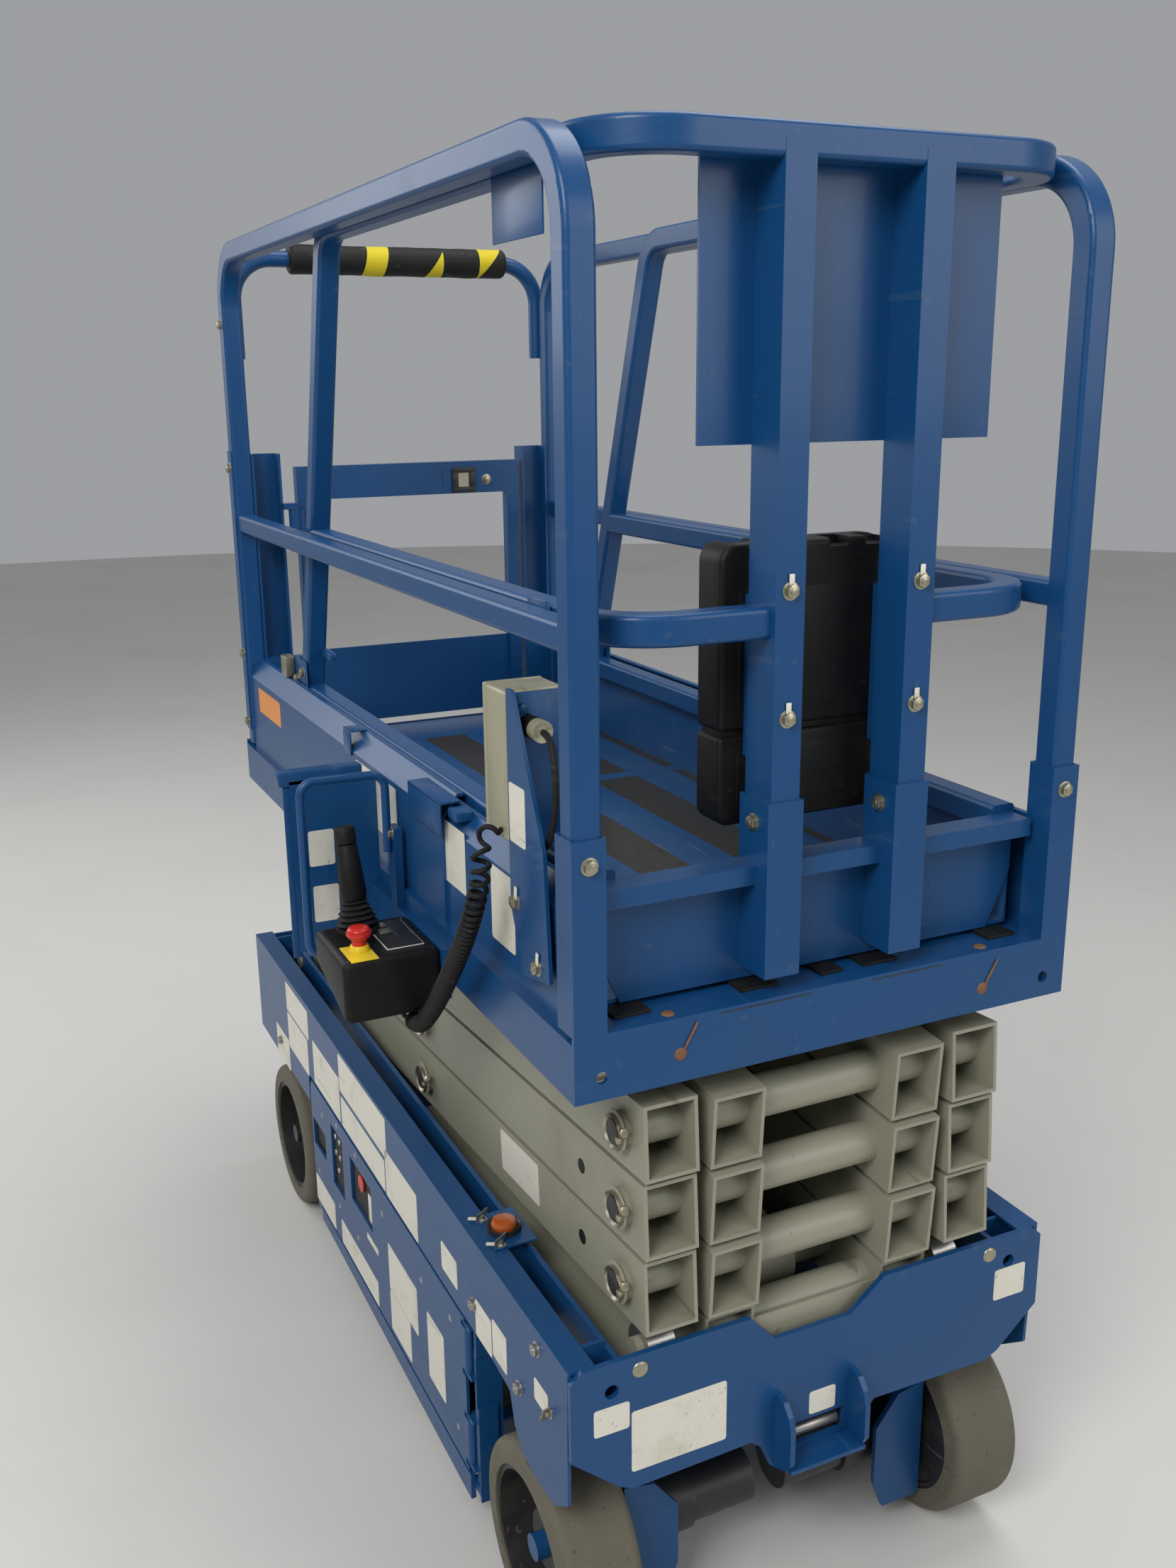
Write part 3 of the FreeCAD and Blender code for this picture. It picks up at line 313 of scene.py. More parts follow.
def foam_bands(tree, vector, colour):
    """Each piece of tape lies past its first slanted edge and short of its second."""
    parts = add(tree, "ShaderNodeSeparateXYZ", {"Vector": vector})
    rise = reckon(tree, "SUBTRACT", parts.outputs[2], HOOP_Z)
    for start, end, lean_a, lean_b in TAPE:
        first, second = (reckon(tree, "MULTIPLY_ADD", rise, lean, edge + LINE)
                         for edge, lean in ((start, lean_a), (end, lean_b)))
        past = reckon(tree, "GREATER_THAN", parts.outputs[1], first)
        short = reckon(tree, "LESS_THAN", parts.outputs[1], second)
        colour = mix(tree, reckon(tree, "MULTIPLY", past, short), colour, (0.62, 0.50, 0.02))
    return colour


deck_finish = finish("deck_blue_with_grit", BLUE, (0.025, 0.085, 0.19), (0.08, 0.12, 0.19),
                     rough=(0.35, 0.55), coat=0.1, bump=(400.0, 0.1), extra=grit_strips, shine=0.3)
foam_finish = finish("foam_black_yellow", (0.010, 0.010, 0.010), (0.022, 0.019, 0.016), (0.05, 0.05, 0.05),
                     rough=(0.6, 0.8), patch=(12.0, 0.5), bump=(260.0, 0.25), extra=foam_bands, shine=0.25)

# %% [markdown]
# The floor is a pale floor like a workshop's, but plain, so that nothing on it draws the eye. It
# takes the same kind of finish, with broad faint patches, so that it isn't quite flat.

# %% Floor finish
floor_finish = finish("pale_floor", (0.62, 0.61, 0.585), (0.57, 0.56, 0.535), (0.60, 0.59, 0.56),
                      rough=(0.7, 0.85), patch=(0.8, 0.5), scratch=(0.5, 0.0), bump=(40.0, 0.02))
floor.data.materials.append(floor_finish)
print(len(bpy.data.materials), "finishes with the patterned ones and the floor's")

# %% [markdown]
# Every CAD node gets the finish of the real piece. Most of the machine is sprayed blue, so that
# is the rule and the table names only the exceptions. Arms, tyres, hubs and motors come in
# sets, so the first word of their names is enough.

# %% Finishes of the CAD nodes
BY_NODE = {"rear_axle": black, "steer_cylinder": black, "steer_rod": steel, "battery_block": plastic,
           "hydraulic_unit": black, "ground_controls": plastic, "base_rollers": steel, "top_rollers": steel,
           "lift_barrel": grey, "lift_rod": chrome, "slide_deck": deck_finish, "roller_tracks": grey}
for name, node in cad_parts.items():
    look = BY_NODE.get(name, blue)
    if name.startswith("arm_"):
        look = grey
    if name.startswith("tyre_"):
        look = tyre
    if name.startswith(("hub_", "motor_")):
        look = black
    node.data.materials.clear()
    node.data.materials.append(look)
print(len(BY_NODE), "nodes have a finish of their own")

# %% [markdown]
# A new piece is shaped where it belongs, as by hand. Operators act on whatever is selected, so
# `only` and `picked` first select one piece, or the parts of it that are meant. `settle` then
# puts the piece's place into its mesh, as the CAD nodes have it, gives it its finish and lets it
# ride on the body that carries it.

# %% Helpers that select, shape and settle a piece
def only(piece):
    """Select this piece alone and make it the active one."""
    clear()
    piece.select_set(True)
    bpy.context.view_layer.objects.active = piece


def applied(piece):
    """Put the piece's place, turn and size into its mesh."""
    only(piece)
    bpy.ops.object.transform_apply(location=True, rotation=True, scale=True)
    return piece


def settle(piece, name, body, look):
    """Name a piece, and give it its finish, its carrier and, where it has one, its material slot."""
    applied(piece)
    piece.name = piece.data.name = name
    piece.data.materials.clear()
    piece.data.materials.append(look)
    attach(piece, body)
    print(name, "on", body, "with", len(piece.data.polygons), "faces")
    return piece


def shape(piece, kind, **values):
    """Add a modifier and apply it at once."""
    only(piece)
    modifier = piece.modifiers.new(kind.lower(), kind)
    for key, value in values.items():
        setattr(modifier, key, value)
    bpy.ops.object.modifier_apply(modifier=modifier.name)
    return piece


def smooth(piece, angle=35):
    """Shade smoothly where faces meet at less than this many degrees."""
    only(piece)
    bpy.ops.object.shade_smooth_by_angle(angle=math.radians(angle))
    return piece


def picked(piece, test, mode="FACE"):
    """Select the faces, edges or corners that pass a test, and stay in edit mode."""
    only(piece)
    bpy.ops.object.mode_set(mode="EDIT")
    bpy.ops.mesh.select_mode(type=mode)
    bpy.ops.mesh.select_all(action="DESELECT")
    bpy.ops.object.mode_set(mode="OBJECT")
    mesh = piece.data
    for part in {"FACE": mesh.polygons, "EDGE": mesh.edges, "VERT": mesh.vertices}[mode]:
        part.select = test(part)
    bpy.ops.object.mode_set(mode="EDIT")


def leave_edit():
    bpy.ops.object.mode_set(mode="OBJECT")


def join(pieces):
    clear()
    for piece in pieces:
        piece.select_set(True)
    bpy.context.view_layer.objects.active = pieces[0]
    if len(pieces) > 1:
        bpy.ops.object.join()
    return bpy.context.object


# %% [markdown]
# Almost every small piece of a machine is a block or a turned part. `slab` and `drum` start from
# a cube and a cone, and round the edges with a bevel, because no real edge is sharp. A piece
# that repeats is made once at the origin, and `spread` copies it, each copy with its own mesh.

# %% Blocks, drums and copies
ORIGIN = (0, -LINE, 0)
FRONT, REAR, LEFT, RIGHT, UP, DOWN = (1, 0, 0), (-1, 0, 0), (0, 1, 0), (0, -1, 0), (0, 0, 1), (0, 0, -1)
SIDES = ((-1, "right"), (1, "left"))
MASTERS = set()


def turned(way):
    """A turn that points a piece's own +Z along way."""
    return Vector(way).to_track_quat("Z", "Y").to_matrix().to_4x4()


def spin(degrees, axis="Z"):
    return Matrix.Rotation(math.radians(degrees), 4, axis)


def spread(master, name, body, look, places):
    """Copies of a small piece, joined to one; places holds (x, y, z) and a way or a turn."""
    MASTERS.add(master)
    made = []
    for place, way in places:
        one = master.copy()
        one.data = master.data.copy()
        bpy.context.scene.collection.objects.link(one)
        turn = way if isinstance(way, Matrix) else turned(way)
        one.matrix_world = Matrix.Translation(at(*place)) @ turn
        made.append(one)
    return settle(join(made), name, body, look)


def both_sides(places, y):
    """The same x and z on both sides of the machine, pointing outwards."""
    return [((x, s * y, z), (0, s, 0)) for s in (-1, 1) for x, z in places]


def slab(x0, x1, y0, y1, z0, z1, bevel=0.0, segments=2):
    """A block between two corners with its edges rounded."""
    clear()
    lo, hi = at(x0, y0, z0), at(x1, y1, z1)
    bpy.ops.mesh.primitive_cube_add(size=1, location=(lo + hi) / 2)
    piece = bpy.context.object
    piece.scale = hi - lo
    bpy.ops.object.transform_apply(location=False, rotation=False, scale=True)
    if bevel:
        shape(piece, "BEVEL", width=bevel, segments=segments, limit_method="ANGLE")
        smooth(piece)
    return piece


def drum(place, way, radius, height, sides=32, bevel=0.0, top=None):
    """A round block that stands on place and points along way; top is its other radius."""
    clear()
    bpy.ops.mesh.primitive_cone_add(vertices=sides, radius1=radius, radius2=radius if top is None else top,
                                    depth=height)
    piece = bpy.context.object
    piece.matrix_world = (Matrix.Translation(at(*place)) @ turned(way)
                          @ Matrix.Translation((0, 0, height / 2)))
    if bevel:
        shape(piece, "BEVEL", width=bevel, segments=2, limit_method="ANGLE")
    return smooth(piece)


# %% [markdown]
# Most small pieces lie flat on a few large faces of the machine. Their places are named here, so
# that a bolt and the plate beside it are sure to stand on the same face.

# %% Faces that small pieces lie on
NOSE, BEAM, POST = 0.906, 0.915, 0.912  # x of the chassis' front plate, the front beam, the deck's posts
SKIN, TOE, WALL = 0.38, 0.364, 0.3595  # y of the side panels, the toe boards, the platform's low wall
BRACKET, ARM = 0.373, 0.274  # y of the junction bracket and of the outer arms
POST_Y = (-0.088, 0.098)  # the two posts that stand on the sliding deck

# %% [markdown]
# Most joints on the machine are held by zinc-plated hex bolts on washers. One bolt is stacked
# from three drums: a washer, a six-sided head with a chamfer and the round end of its thread.

# %% Hex bolts
bolt = join([drum(ORIGIN, UP, 0.0112, 0.0020, 24, 0.0005),
             drum((0, -LINE, 0.0020), UP, 0.0090, 0.0060, 6, 0.0009),
             drum((0, -LINE, 0.0078), UP, 0.0045, 0.0015, 12, 0.0004)])
SOCKET_BOLTS = [((BEAM, s * 0.3495, 1.219), FRONT) for s in (-1, 1)]
spread(bolt, "socket_bolts", "platform", zinc, SOCKET_BOLTS)
STRAP_X = -0.733
STRAP_BOLTS = both_sides([(STRAP_X, z) for z in (1.057, 1.203, 1.585)], 0.3715)
STRAP_BOLTS += both_sides([(STRAP_X, 1.865)], 0.3685)
spread(bolt, "rail_strap_bolts", "platform", zinc, STRAP_BOLTS)
PLATE_BOLTS = [(0.752, 1.129), (0.815, 1.064)]
BRACKET_BOLTS = [((x, -BRACKET, z), RIGHT) for x, z in PLATE_BOLTS] + [((0.287, -0.3847, 1.09), RIGHT)]
spread(bolt, "bracket_bolts", "platform", zinc, BRACKET_BOLTS)
DECK_BOLTS = [((0.882, y + s * 0.025, 1.23), (0, s, 0)) for y in POST_Y for s in (-1, 1)]
spread(bolt, "deck_socket_bolts", "slide_deck", zinc, DECK_BOLTS)
PANEL_BOLTS = both_sides([(0.565, 0.44), (0.735, 0.415), (0.80, 0.52), (-0.60, 0.37)], SKIN)
spread(bolt, "panel_bolts", "chassis", steel, PANEL_BOLTS)

# %% [markdown]
# The deck's posts carry wing pins, each a small bolt with a white tab. The tab is a slim slab
# that stands up behind the head, turned to lie along the face.

# %% Wing pins on the deck posts
WING = [(y, z) for y in POST_Y for z in (1.512, 1.361)]
TAB_OFF = 0.0025  # from the face to the middle of a tab
spread(bolt, "wing_pins", "slide_deck", zinc, [((POST, y, z), FRONT) for y, z in WING])
tab = slab(-0.0035, 0.0035, -0.001 - LINE, 0.001 - LINE, 0.0, 0.024, 0.0008)
spread(tab, "wing_tabs", "slide_deck", white, [((POST + TAB_OFF, y, z + 0.008), spin(90)) for y, z in WING])
spread(tab, "bracket_tabs", "platform", white,
       [((x + 0.004, -BRACKET - TAB_OFF, z + 0.009), spin(8, "Y")) for x, z in PLATE_BOLTS])

# %% [markdown]
# Each arm pin ends outside its arm in a painted washer, a zinc ring round a dark hollow end, and
# the head and nut of a small bolt that locks the ring. The dark of the hollow end is painted
# shade: a black disc fills it. The ring could be cut with a boolean, but insetting a drum's face
# and pushing it in keeps the mesh light and clean.

# %% Arm pin collars
def ring(place, way, outer, inner, height, depth, sides=40):
    """A drum with a round recess in its outer face."""
    piece = drum(ORIGIN, UP, outer, height, sides)
    piece.matrix_world = Matrix.Translation((0, 0, height / 2))
    picked(piece, lambda face: face.normal.z > 0.9)
    bpy.ops.mesh.inset(thickness=outer - inner)
    bpy.ops.transform.translate(value=(0, 0, -depth))
    leave_edit()
    shape(piece, "BEVEL", width=0.0008, segments=2, limit_method="ANGLE")
    piece.matrix_world = Matrix.Translation(at(*place)) @ turned(way) @ piece.matrix_world
    return smooth(piece)


collar = join([ring(ORIGIN, UP, 0.0232, 0.0180, 0.0150, 0.006),
               drum((0, 0.022 - LINE, 0.0075), (0, 1, 0.25), 0.0066, 0.010, 6, 0.001),
               drum((0.009, 0.020 - LINE, 0.0120), UP, 0.0052, 0.006, 20, 0.0015)])
# A black disc inside the ring: painted shade for the dark hollow end of the pin.
pin_end_shade = drum(ORIGIN, UP, 0.0174, 0.0125, 32, 0.0012)
pin_washer = drum(ORIGIN, UP, 0.0285, 0.0024, 40, 0.0008)
# A dark disc on the arm: painted shade for the spare hole.
hole_shade = drum(ORIGIN, UP, 0.0105, 0.0006, 32)

# %% [markdown]
# The arms lie one above the other, so one loop dresses all four. The lowest rear end and the
# highest front end sit inside the chassis and the platform and show no collar. A dark disc
# stands for the spare hole near the front end of each arm; its darkness is painted shade.

# %% Collars and holes on the four outer arms
LEVEL, LOW = 0.109, 0.512  # height from arm to arm, and of the lowest rear pin
REAR_X, FRONT_X, MIDDLE_X = -0.6771, 0.847, 0.0849
PIN_Y, LOCK = 0.2845, spin(112)  # where the ring stands, and how far its bolt is turned round it
HOLE_X, HOLE_SHARE = 0.72, (0.72 + 0.677) / 1.5241  # the hole, and its share of the arm's length
for k in range(1, 5):
    arm = "arm_outer_%d" % k
    rows = [(REAR_X, LOW + (k - 1) * LEVEL), (FRONT_X, LOW + k * LEVEL), (MIDDLE_X, LOW + (k - 0.5) * LEVEL)]
    if k in (1, 4):
        rows.pop(0 if k == 1 else 1)
    places = [((x, s * PIN_Y, z), turned((0, s, 0)) @ (LOCK if s < 0 else LOCK.inverted()))
              for x, z in rows for s in (-1, 1)]
    spread(collar, "pin_collars_%d" % k, arm, zinc, places)
    spread(pin_end_shade, "pin_shade_cores_%d" % k, arm, black, places)
    spread(pin_washer, "pin_washers_%d" % k, arm, grey, places)
    hole_z = LOW + LEVEL * (k - 1 + HOLE_SHARE)
    spread(hole_shade, "arm_hole_shades_%d" % k, arm, plastic, both_sides([(HOLE_X, hole_z)], ARM + 0.0002))

# %% [markdown]
# The machine is covered with safety plates. Here they are bare: thin off-white films with
# rounded corners, a hair proud of the paint. A plane is cut to size, its corners are rounded
# with a vertex bevel, and a solidify modifier gives it its thickness.

# %% Blank plates
FILM_CORNER, FILM_THICK = 0.004, 0.0006


def film(name, body, look, corner, along, across, wide, tall):
    """A blank plate; corner is its low corner, along and across are its two edges' directions."""
    clear()
    bpy.ops.mesh.primitive_plane_add(size=1)
    piece = bpy.context.object
    piece.data.transform(Matrix.Translation((0.5, 0.5, 0)))
    piece.data.transform(Matrix.Diagonal((wide, tall, 1, 1)))
    picked(piece, lambda vertex: True, "VERT")
    bpy.ops.mesh.bevel(offset=FILM_CORNER, offset_pct=0, segments=4, affect="VERTICES")
    leave_edit()
    shape(piece, "SOLIDIFY", thickness=FILM_THICK, offset=1.0)
    a, b = Vector(along).normalized(), Vector(across).normalized()
    piece.matrix_world = Matrix.Translation(at(*corner)) @ Matrix((a, b, a.cross(b))).transposed().to_4x4()
    return settle(piece, name, body, look)


SIDE_PLATES = [  # name, x from, x to, z from, z to, body
    ("a", -0.525, -0.350, 0.473, 0.537, "chassis"), ("b", -0.638, -0.528, 0.326, 0.398, "chassis"),
    ("c", -0.321, -0.135, 0.396, 0.488, "chassis"), ("d", -0.130, 0.155, 0.466, 0.543, "chassis"),
    ("e", -0.126, 0.140, 0.396, 0.456, "chassis"), ("f", 0.146, 0.312, 0.394, 0.482, "chassis"),
    ("g", -0.361, -0.222, 0.114, 0.172, "tray_right"), ("h", -0.177, 0.060, 0.114, 0.166, "tray_right"),
    ("i", 0.136, 0.290, 0.203, 0.294, "tray_right"), ("j", 0.136, 0.246, 0.121, 0.201, "tray_right"),
    ("k", 0.340, 0.419, 0.162, 0.286, "tray_right"), ("l", 0.427, 0.496, 0.420, 0.468, "chassis"),
    ("m", 0.572, 0.635, 0.394, 0.455, "chassis"), ("n", 0.639, 0.692, 0.404, 0.464, "chassis"),
    ("o", 0.790, 0.835, 0.438, 0.472, "chassis"), ("u", -0.524, -0.364, 0.388, 0.468, "chassis"),
    ("v", 0.005, 0.072, 0.228, 0.240, "tray_right")]
for label, x0, x1, z0, z1, body in SIDE_PLATES:
    film("blank_plate_" + label, body, white, (x0, -SKIN, z0), FRONT, UP, x1 - x0, z1 - z0)
FRONT_PLATES = [  # name, y from, y to, z from, z to
    ("p", -0.348, -0.297, 0.447, 0.487), ("q", -0.294, -0.152, 0.376, 0.468),
    ("r", -0.019, 0.024, 0.366, 0.402), ("s", 0.298, 0.354, 0.448, 0.498)]
for label, y0, y1, z0, z1 in FRONT_PLATES:
    film("blank_plate_" + label, "chassis", white, (NOSE, y0, z0), LEFT, UP, y1 - y0, z1 - z0)

# %% [markdown]
# The platform's plates lie on several faces, so each names its own corner. The one on the lowest
# arm leans with the arm, so its two edges are turned by the arm's slope.

# %% Blank plates of the platform and the arm
PLATFORM_PLATES = [  # name, finish, low corner, direction of its width, width, height
    ("toe", orange, (-0.647, -TOE, 1.094), FRONT, 0.178, 0.050),
    ("rail_a", white, (0.452, -WALL, 1.065), FRONT, 0.088, 0.090),
    ("rail_b", white, (0.635, -WALL, 1.040), FRONT, 0.079, 0.102),
    ("rail_c", white, (0.045, -TOE, 1.056), FRONT, 0.210, 0.092),
    ("hook_a", white, (0.181, -0.486, 1.019), LEFT, 0.041, 0.058),
    ("hook_b", white, (0.181, -0.483, 0.926), LEFT, 0.041, 0.060)]
for label, look, corner, way, wide, tall in PLATFORM_PLATES:
    film("blank_plate_" + label, "platform", look, corner, way, UP, wide, tall)
slope = spin(-4.09, "Y").to_3x3()
film("blank_plate_arm", "arm_outer_1", white, (0.428, -ARM, 0.566), slope @ Vector(FRONT),
     slope @ Vector(UP), 0.145, 0.066)
film("blank_plate_bracket", "platform", white, (0.739, -BRACKET, 1.205), FRONT, UP, 0.048, 0.075)

# %% [markdown]
# A cord is a line with a round section. `spline` draws the line, `along` walks it at even steps
# and measures it, and `thicken` gives it its section and lets it ride on the platform.

# %% Lines with a thickness
def spline(name, points, resolution=12):
    """One open NURBS spline, a bare line, with the points as its control points."""
    data = bpy.data.curves.new(name, "CURVE")
    data.dimensions = "3D"
    line = data.splines.new("NURBS")
    line.points.add(len(points) - 1)
    for knot, place in zip(line.points, points):
        knot.co = (*place, 1)
    line.order_u = 3
    line.use_endpoint_u = True
    line.resolution_u = resolution
    piece = bpy.data.objects.new(name, data)
    bpy.context.scene.collection.objects.link(piece)
    return piece


def along(piece, step):
    """Points at even steps on a spline's line, with its length."""
    bpy.context.view_layer.update()
    mesh = bpy.data.meshes.new_from_object(piece)
    line = [v.co.copy() for v in mesh.vertices]
    bpy.data.meshes.remove(mesh)
    lengths = [0.0]
    for a, b in zip(line, line[1:]):
        lengths.append(lengths[-1] + (b - a).length)
    count = int(lengths[-1] / step)
    points, k = [], 0
    for i in range(count + 1):
        s = lengths[-1] * i / count
        while k < len(line) - 2 and lengths[k + 1] < s:
            k += 1
        share = (s - lengths[k]) / max(lengths[k + 1] - lengths[k], 1e-9)
        points.append(line[k].lerp(line[k + 1], share))
    return points, lengths[-1]


def thicken(piece, thick):
    """Say the line's own length and give it its round section."""
    print(piece.name, "%.3f m" % along(piece, 0.002)[1])
    piece.data.bevel_depth = thick / 2
    piece.data.bevel_resolution = 2
    piece.data.use_fill_caps = True
    piece.data.materials.append(rubber)
    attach(piece, "platform")


# %% [markdown]
# The platform controls hang on the outside of the platform. A curly cord with a black jacket
# runs from the bottom of the box up to a bracket. The route's points are the ones the solid
# tube has, on a smooth spline, and the helix winds round that line. The turns lie close on the
# straight runs, and fan out at the bends and towards the top, as a real curly cord does.

# %% Curly cord
WIRE, COIL_RADIUS, PER_TURN = 0.0070, 0.0104, 14  # PER_TURN counts the points of one turn
ROUTE = [(0.444, -0.420, 0.896), (0.444, -0.420, 0.862), (0.492, -0.420, 0.862), (0.560, -0.420, 0.918),
         (0.640, -0.421, 1.002), (0.706, -0.419, 1.085), (0.738, -0.411, 1.165), (0.718, -0.406, 1.214),
         (0.718, -0.3753, 1.214)]
CLOSE = 1.12  # pitch of turns that lie close, in thicknesses of the wire
EASE_IN, EASE_OUT, EASE_PITCH = 0.020, 0.014, 0.012  # the ends, where the helix swells and fades
LOOSE_FROM, LOOSE_SPAN, LOOSE_BY = 0.70, 0.30, 1.5  # the last part of the route hangs open
guide = spline("guide", [at(*p) for p in ROUTE])
line, reach = along(guide, 0.001)
bpy.data.objects.remove(guide)
step = reach / (len(line) - 1)
bend = [0.0] * len(line)
for i in range(4, len(line) - 4):
    bend[i] = (line[i + 4] - 2 * line[i] + line[i - 4]).length / (4 * step) ** 2
turns, place, phase, helix = 0.0, 0.0, 0.0, []
normal = Vector((0, 1, 0))
while place < reach:
    i = min(int(place / step), len(line) - 2)
    way = (line[i + 1] - line[i]).normalized()
    normal = (normal - normal.dot(way) * way).normalized()
    swell = min(1.0, place / EASE_IN, (reach - place) / EASE_OUT)
    swell = swell * swell * (3 - 2 * swell)
    centre = line[i].lerp(line[i + 1], place / step - i)
    side = normal * math.cos(phase) + way.cross(normal) * math.sin(phase)
    helix.append(centre + COIL_RADIUS * swell * side)
    curve = max(bend[max(0, i - 10):i + 11])
    loose = 1.0 + LOOSE_BY * max(0.0, place / reach - LOOSE_FROM) / LOOSE_SPAN
    pitch = WIRE * CLOSE * loose / max(0.35, 1 - COIL_RADIUS * curve) + EASE_PITCH * (1 - swell)
    place += pitch / PER_TURN
    phase += 2 * math.pi / PER_TURN
    turns += 1 / PER_TURN
helix[0], helix[-1] = line[0], line[-1]
coil = spline("curly_cord", helix, 2)
thicken(coil, WIRE)
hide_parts("coiled_cord")
print("%.0f turns on a route of %.3f m" % (turns, reach))

# %% [markdown]
# A thin tail leaves the gland of the junction box and curves down behind the bracket. The gland
# is a hex body with a tapered neck and a nut, and a short cone relieves the curly cord where it
# leaves the control box.

# %% Cable tail, gland and cord relief
TAIL_WIRE, TAIL_LENGTH = 0.0085, 0.23
TAIL = [(0.785, -0.346, 1.347), (0.808, -0.348, 1.347), (0.826, -0.351, 1.320), (0.834, -0.353, 1.282),
        (0.833, -0.356, 1.246), (0.822, -0.359, 1.218), (0.795, -0.3605, 1.204), (0.764, -0.361, 1.204),
        (0.752, -0.3665, 1.212)]
tail = spline("cable_tail", [at(*p) for p in TAIL])
thicken(tail, TAIL_WIRE)
gland = [drum((0.735, -0.346, 1.347), FRONT, 0.0150, 0.010, 6, 0.0015),
         drum((0.745, -0.346, 1.347), FRONT, 0.0135, 0.020, 32, 0.001, 0.0145)]
settle(join(gland), "gland_body", "platform", plastic)
nut = ring((0.765, -0.346, 1.347), FRONT, 0.0138, 0.0070, 0.018, 0.002)
settle(nut, "gland_nut", "platform", beige)
relief = drum((0.444, -0.420, 0.898), DOWN, 0.011, 0.016, 32, 0.0015, 0.0065)
settle(relief, "cord_relief", "platform", rubber)

# %% [markdown]
# The control box is a moulded black housing with a slanted belly and soft edges. A block is
# placed, its lower front edge is pulled down, its edges get a wide bevel, and the top is inset
# for the thin rim of the panel. The solid box of the CAD model then gives way to it.

# %% Control box
case = applied(slab(0.345, 0.498, -0.527, -0.385, 0.930, 0.979))
picked(case, lambda v: v.co.z < 0.94 and v.co.x > 0.4, "VERT")
bpy.ops.transform.translate(value=(0, 0, -0.045))
leave_edit()
shape(case, "BEVEL", width=0.010, segments=4, limit_method="ANGLE")
picked(case, lambda f: f.normal.z > 0.99 and f.area > 0.004)
bpy.ops.mesh.inset(thickness=0.004)
bpy.ops.transform.translate(value=(0, 0, -0.0015))
leave_edit()
settle(smooth(case, 30), "control_case", "platform", plastic)
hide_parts("control_box")
settle(slab(0.360, 0.470, -0.455, -0.400, 0.9772, 0.9788, 0.0006), "control_panel_rim", "platform", white)
settle(slab(0.3612, 0.4688, -0.4538, -0.4012, 0.9774, 0.9794, 0.0004), "control_panel", "platform", black)
for k, x in enumerate((0.372, 0.398)):
    key = slab(x, x + 0.017, -0.448, -0.430, 0.9794, 0.9835, 0.0012)
    settle(key, "panel_key_%d" % k, "platform", zinc)
settle(slab(0.434, 0.4945, -0.5145, -0.4745, 0.9775, 0.9792, 0.0006), "stop_plate", "platform", yellow)
CASE_SCREWS = [((x, y, 0.9775), UP) for x in (0.356, 0.487) for y in (-0.517, -0.395)]
spread(drum(ORIGIN, UP, 0.0032, 0.0022, 12, 0.0008), "case_screws", "platform", steel, CASE_SCREWS)

# %% [markdown]
# The stop button is a red mushroom on a yellow collar. The joystick has a rubber boot with
# folds, which are pairs of short cones that open and close, and a thick grip with a rounded top.

# %% Stop button and joystick
STOP = (0.452, -0.490)
settle(drum((*STOP, 0.979), UP, 0.0155, 0.008, 40, 0.001, 0.0125), "stop_collar", "platform", yellow)
BUTTON = [drum((*STOP, 0.986), UP, 0.0105, 0.011, 40),
          drum((*STOP, 0.996), UP, 0.0135, 0.005, 40, 0.001, 0.0175),
          drum((*STOP, 1.001), UP, 0.0178, 0.006, 40, 0.001),
          drum((*STOP, 1.0068), UP, 0.0172, 0.006, 40, 0.003, 0.0145)]
settle(join(BUTTON), "stop_button", "platform", red)
STICK, LEAN = (0.378, -0.470), Vector((-0.15, -0.04, 1)).normalized()


def on_stick(rise):
    return (STICK[0] + LEAN.x * rise, STICK[1] + LEAN.y * rise, 0.985 + LEAN.z * rise)


boot = [drum((*STICK, 0.977), UP, 0.0315, 0.010, 40, 0.0015)]
for k, radius in enumerate((0.0305, 0.0285, 0.0258, 0.0228, 0.0198)):
    boot.append(drum(on_stick(0.002 + 0.0078 * k), LEAN, radius - 0.0045, 0.0042, 40, 0, radius))
    boot.append(drum(on_stick(0.0062 + 0.0078 * k), LEAN, radius, 0.0042, 40, 0, radius - 0.0055))
boot = settle(join(boot), "stick_boot", "platform", rubber)
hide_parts("box_controls")
GRIP = [drum(on_stick(0.040), LEAN, 0.0178, 0.010, 32, 0.001, 0.0200),
        drum(on_stick(0.049), LEAN, 0.0200, 0.074, 32, 0.001, 0.0148),
        drum(on_stick(0.1235), LEAN, 0.0158, 0.026, 32, 0.0045, 0.0146)]
settle(join(GRIP), "stick_grip", "platform", plastic)

# %% [markdown]
# The junction box has a shallow lid on its rear face. A real lid shows as a fine dark seam, so
# the body and the lid are two blocks with a gap, on a smaller block that closes it from within.

# %% Junction box
BOX = [slab(0.672, 0.735, -0.375, -0.295, 1.200, 1.390, 0.005, 3),
       slab(0.662, 0.6705, -0.375, -0.295, 1.200, 1.390, 0.003, 3),
       slab(0.668, 0.675, -0.372, -0.298, 1.203, 1.387)]
box = settle(join(BOX), "junction_case", "platform", beige)
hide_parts("junction_box")
LID_SCREWS = [((0.6625, y, z), REAR) for y in (-0.367, -0.303) for z in (1.209, 1.381)]
spread(drum(ORIGIN, UP, 0.0035, 0.0018, 12, 0.0006), "lid_screws", "platform", steel, LID_SCREWS)

# %% [markdown]
# The document box is a moulded black case with a lid that hinges at a seam near its foot. Two
# blocks with wide rounded corners meet at the seam round a core, and the notches for a finger
# and a hanger are cut from the lid's top edge with a boolean.

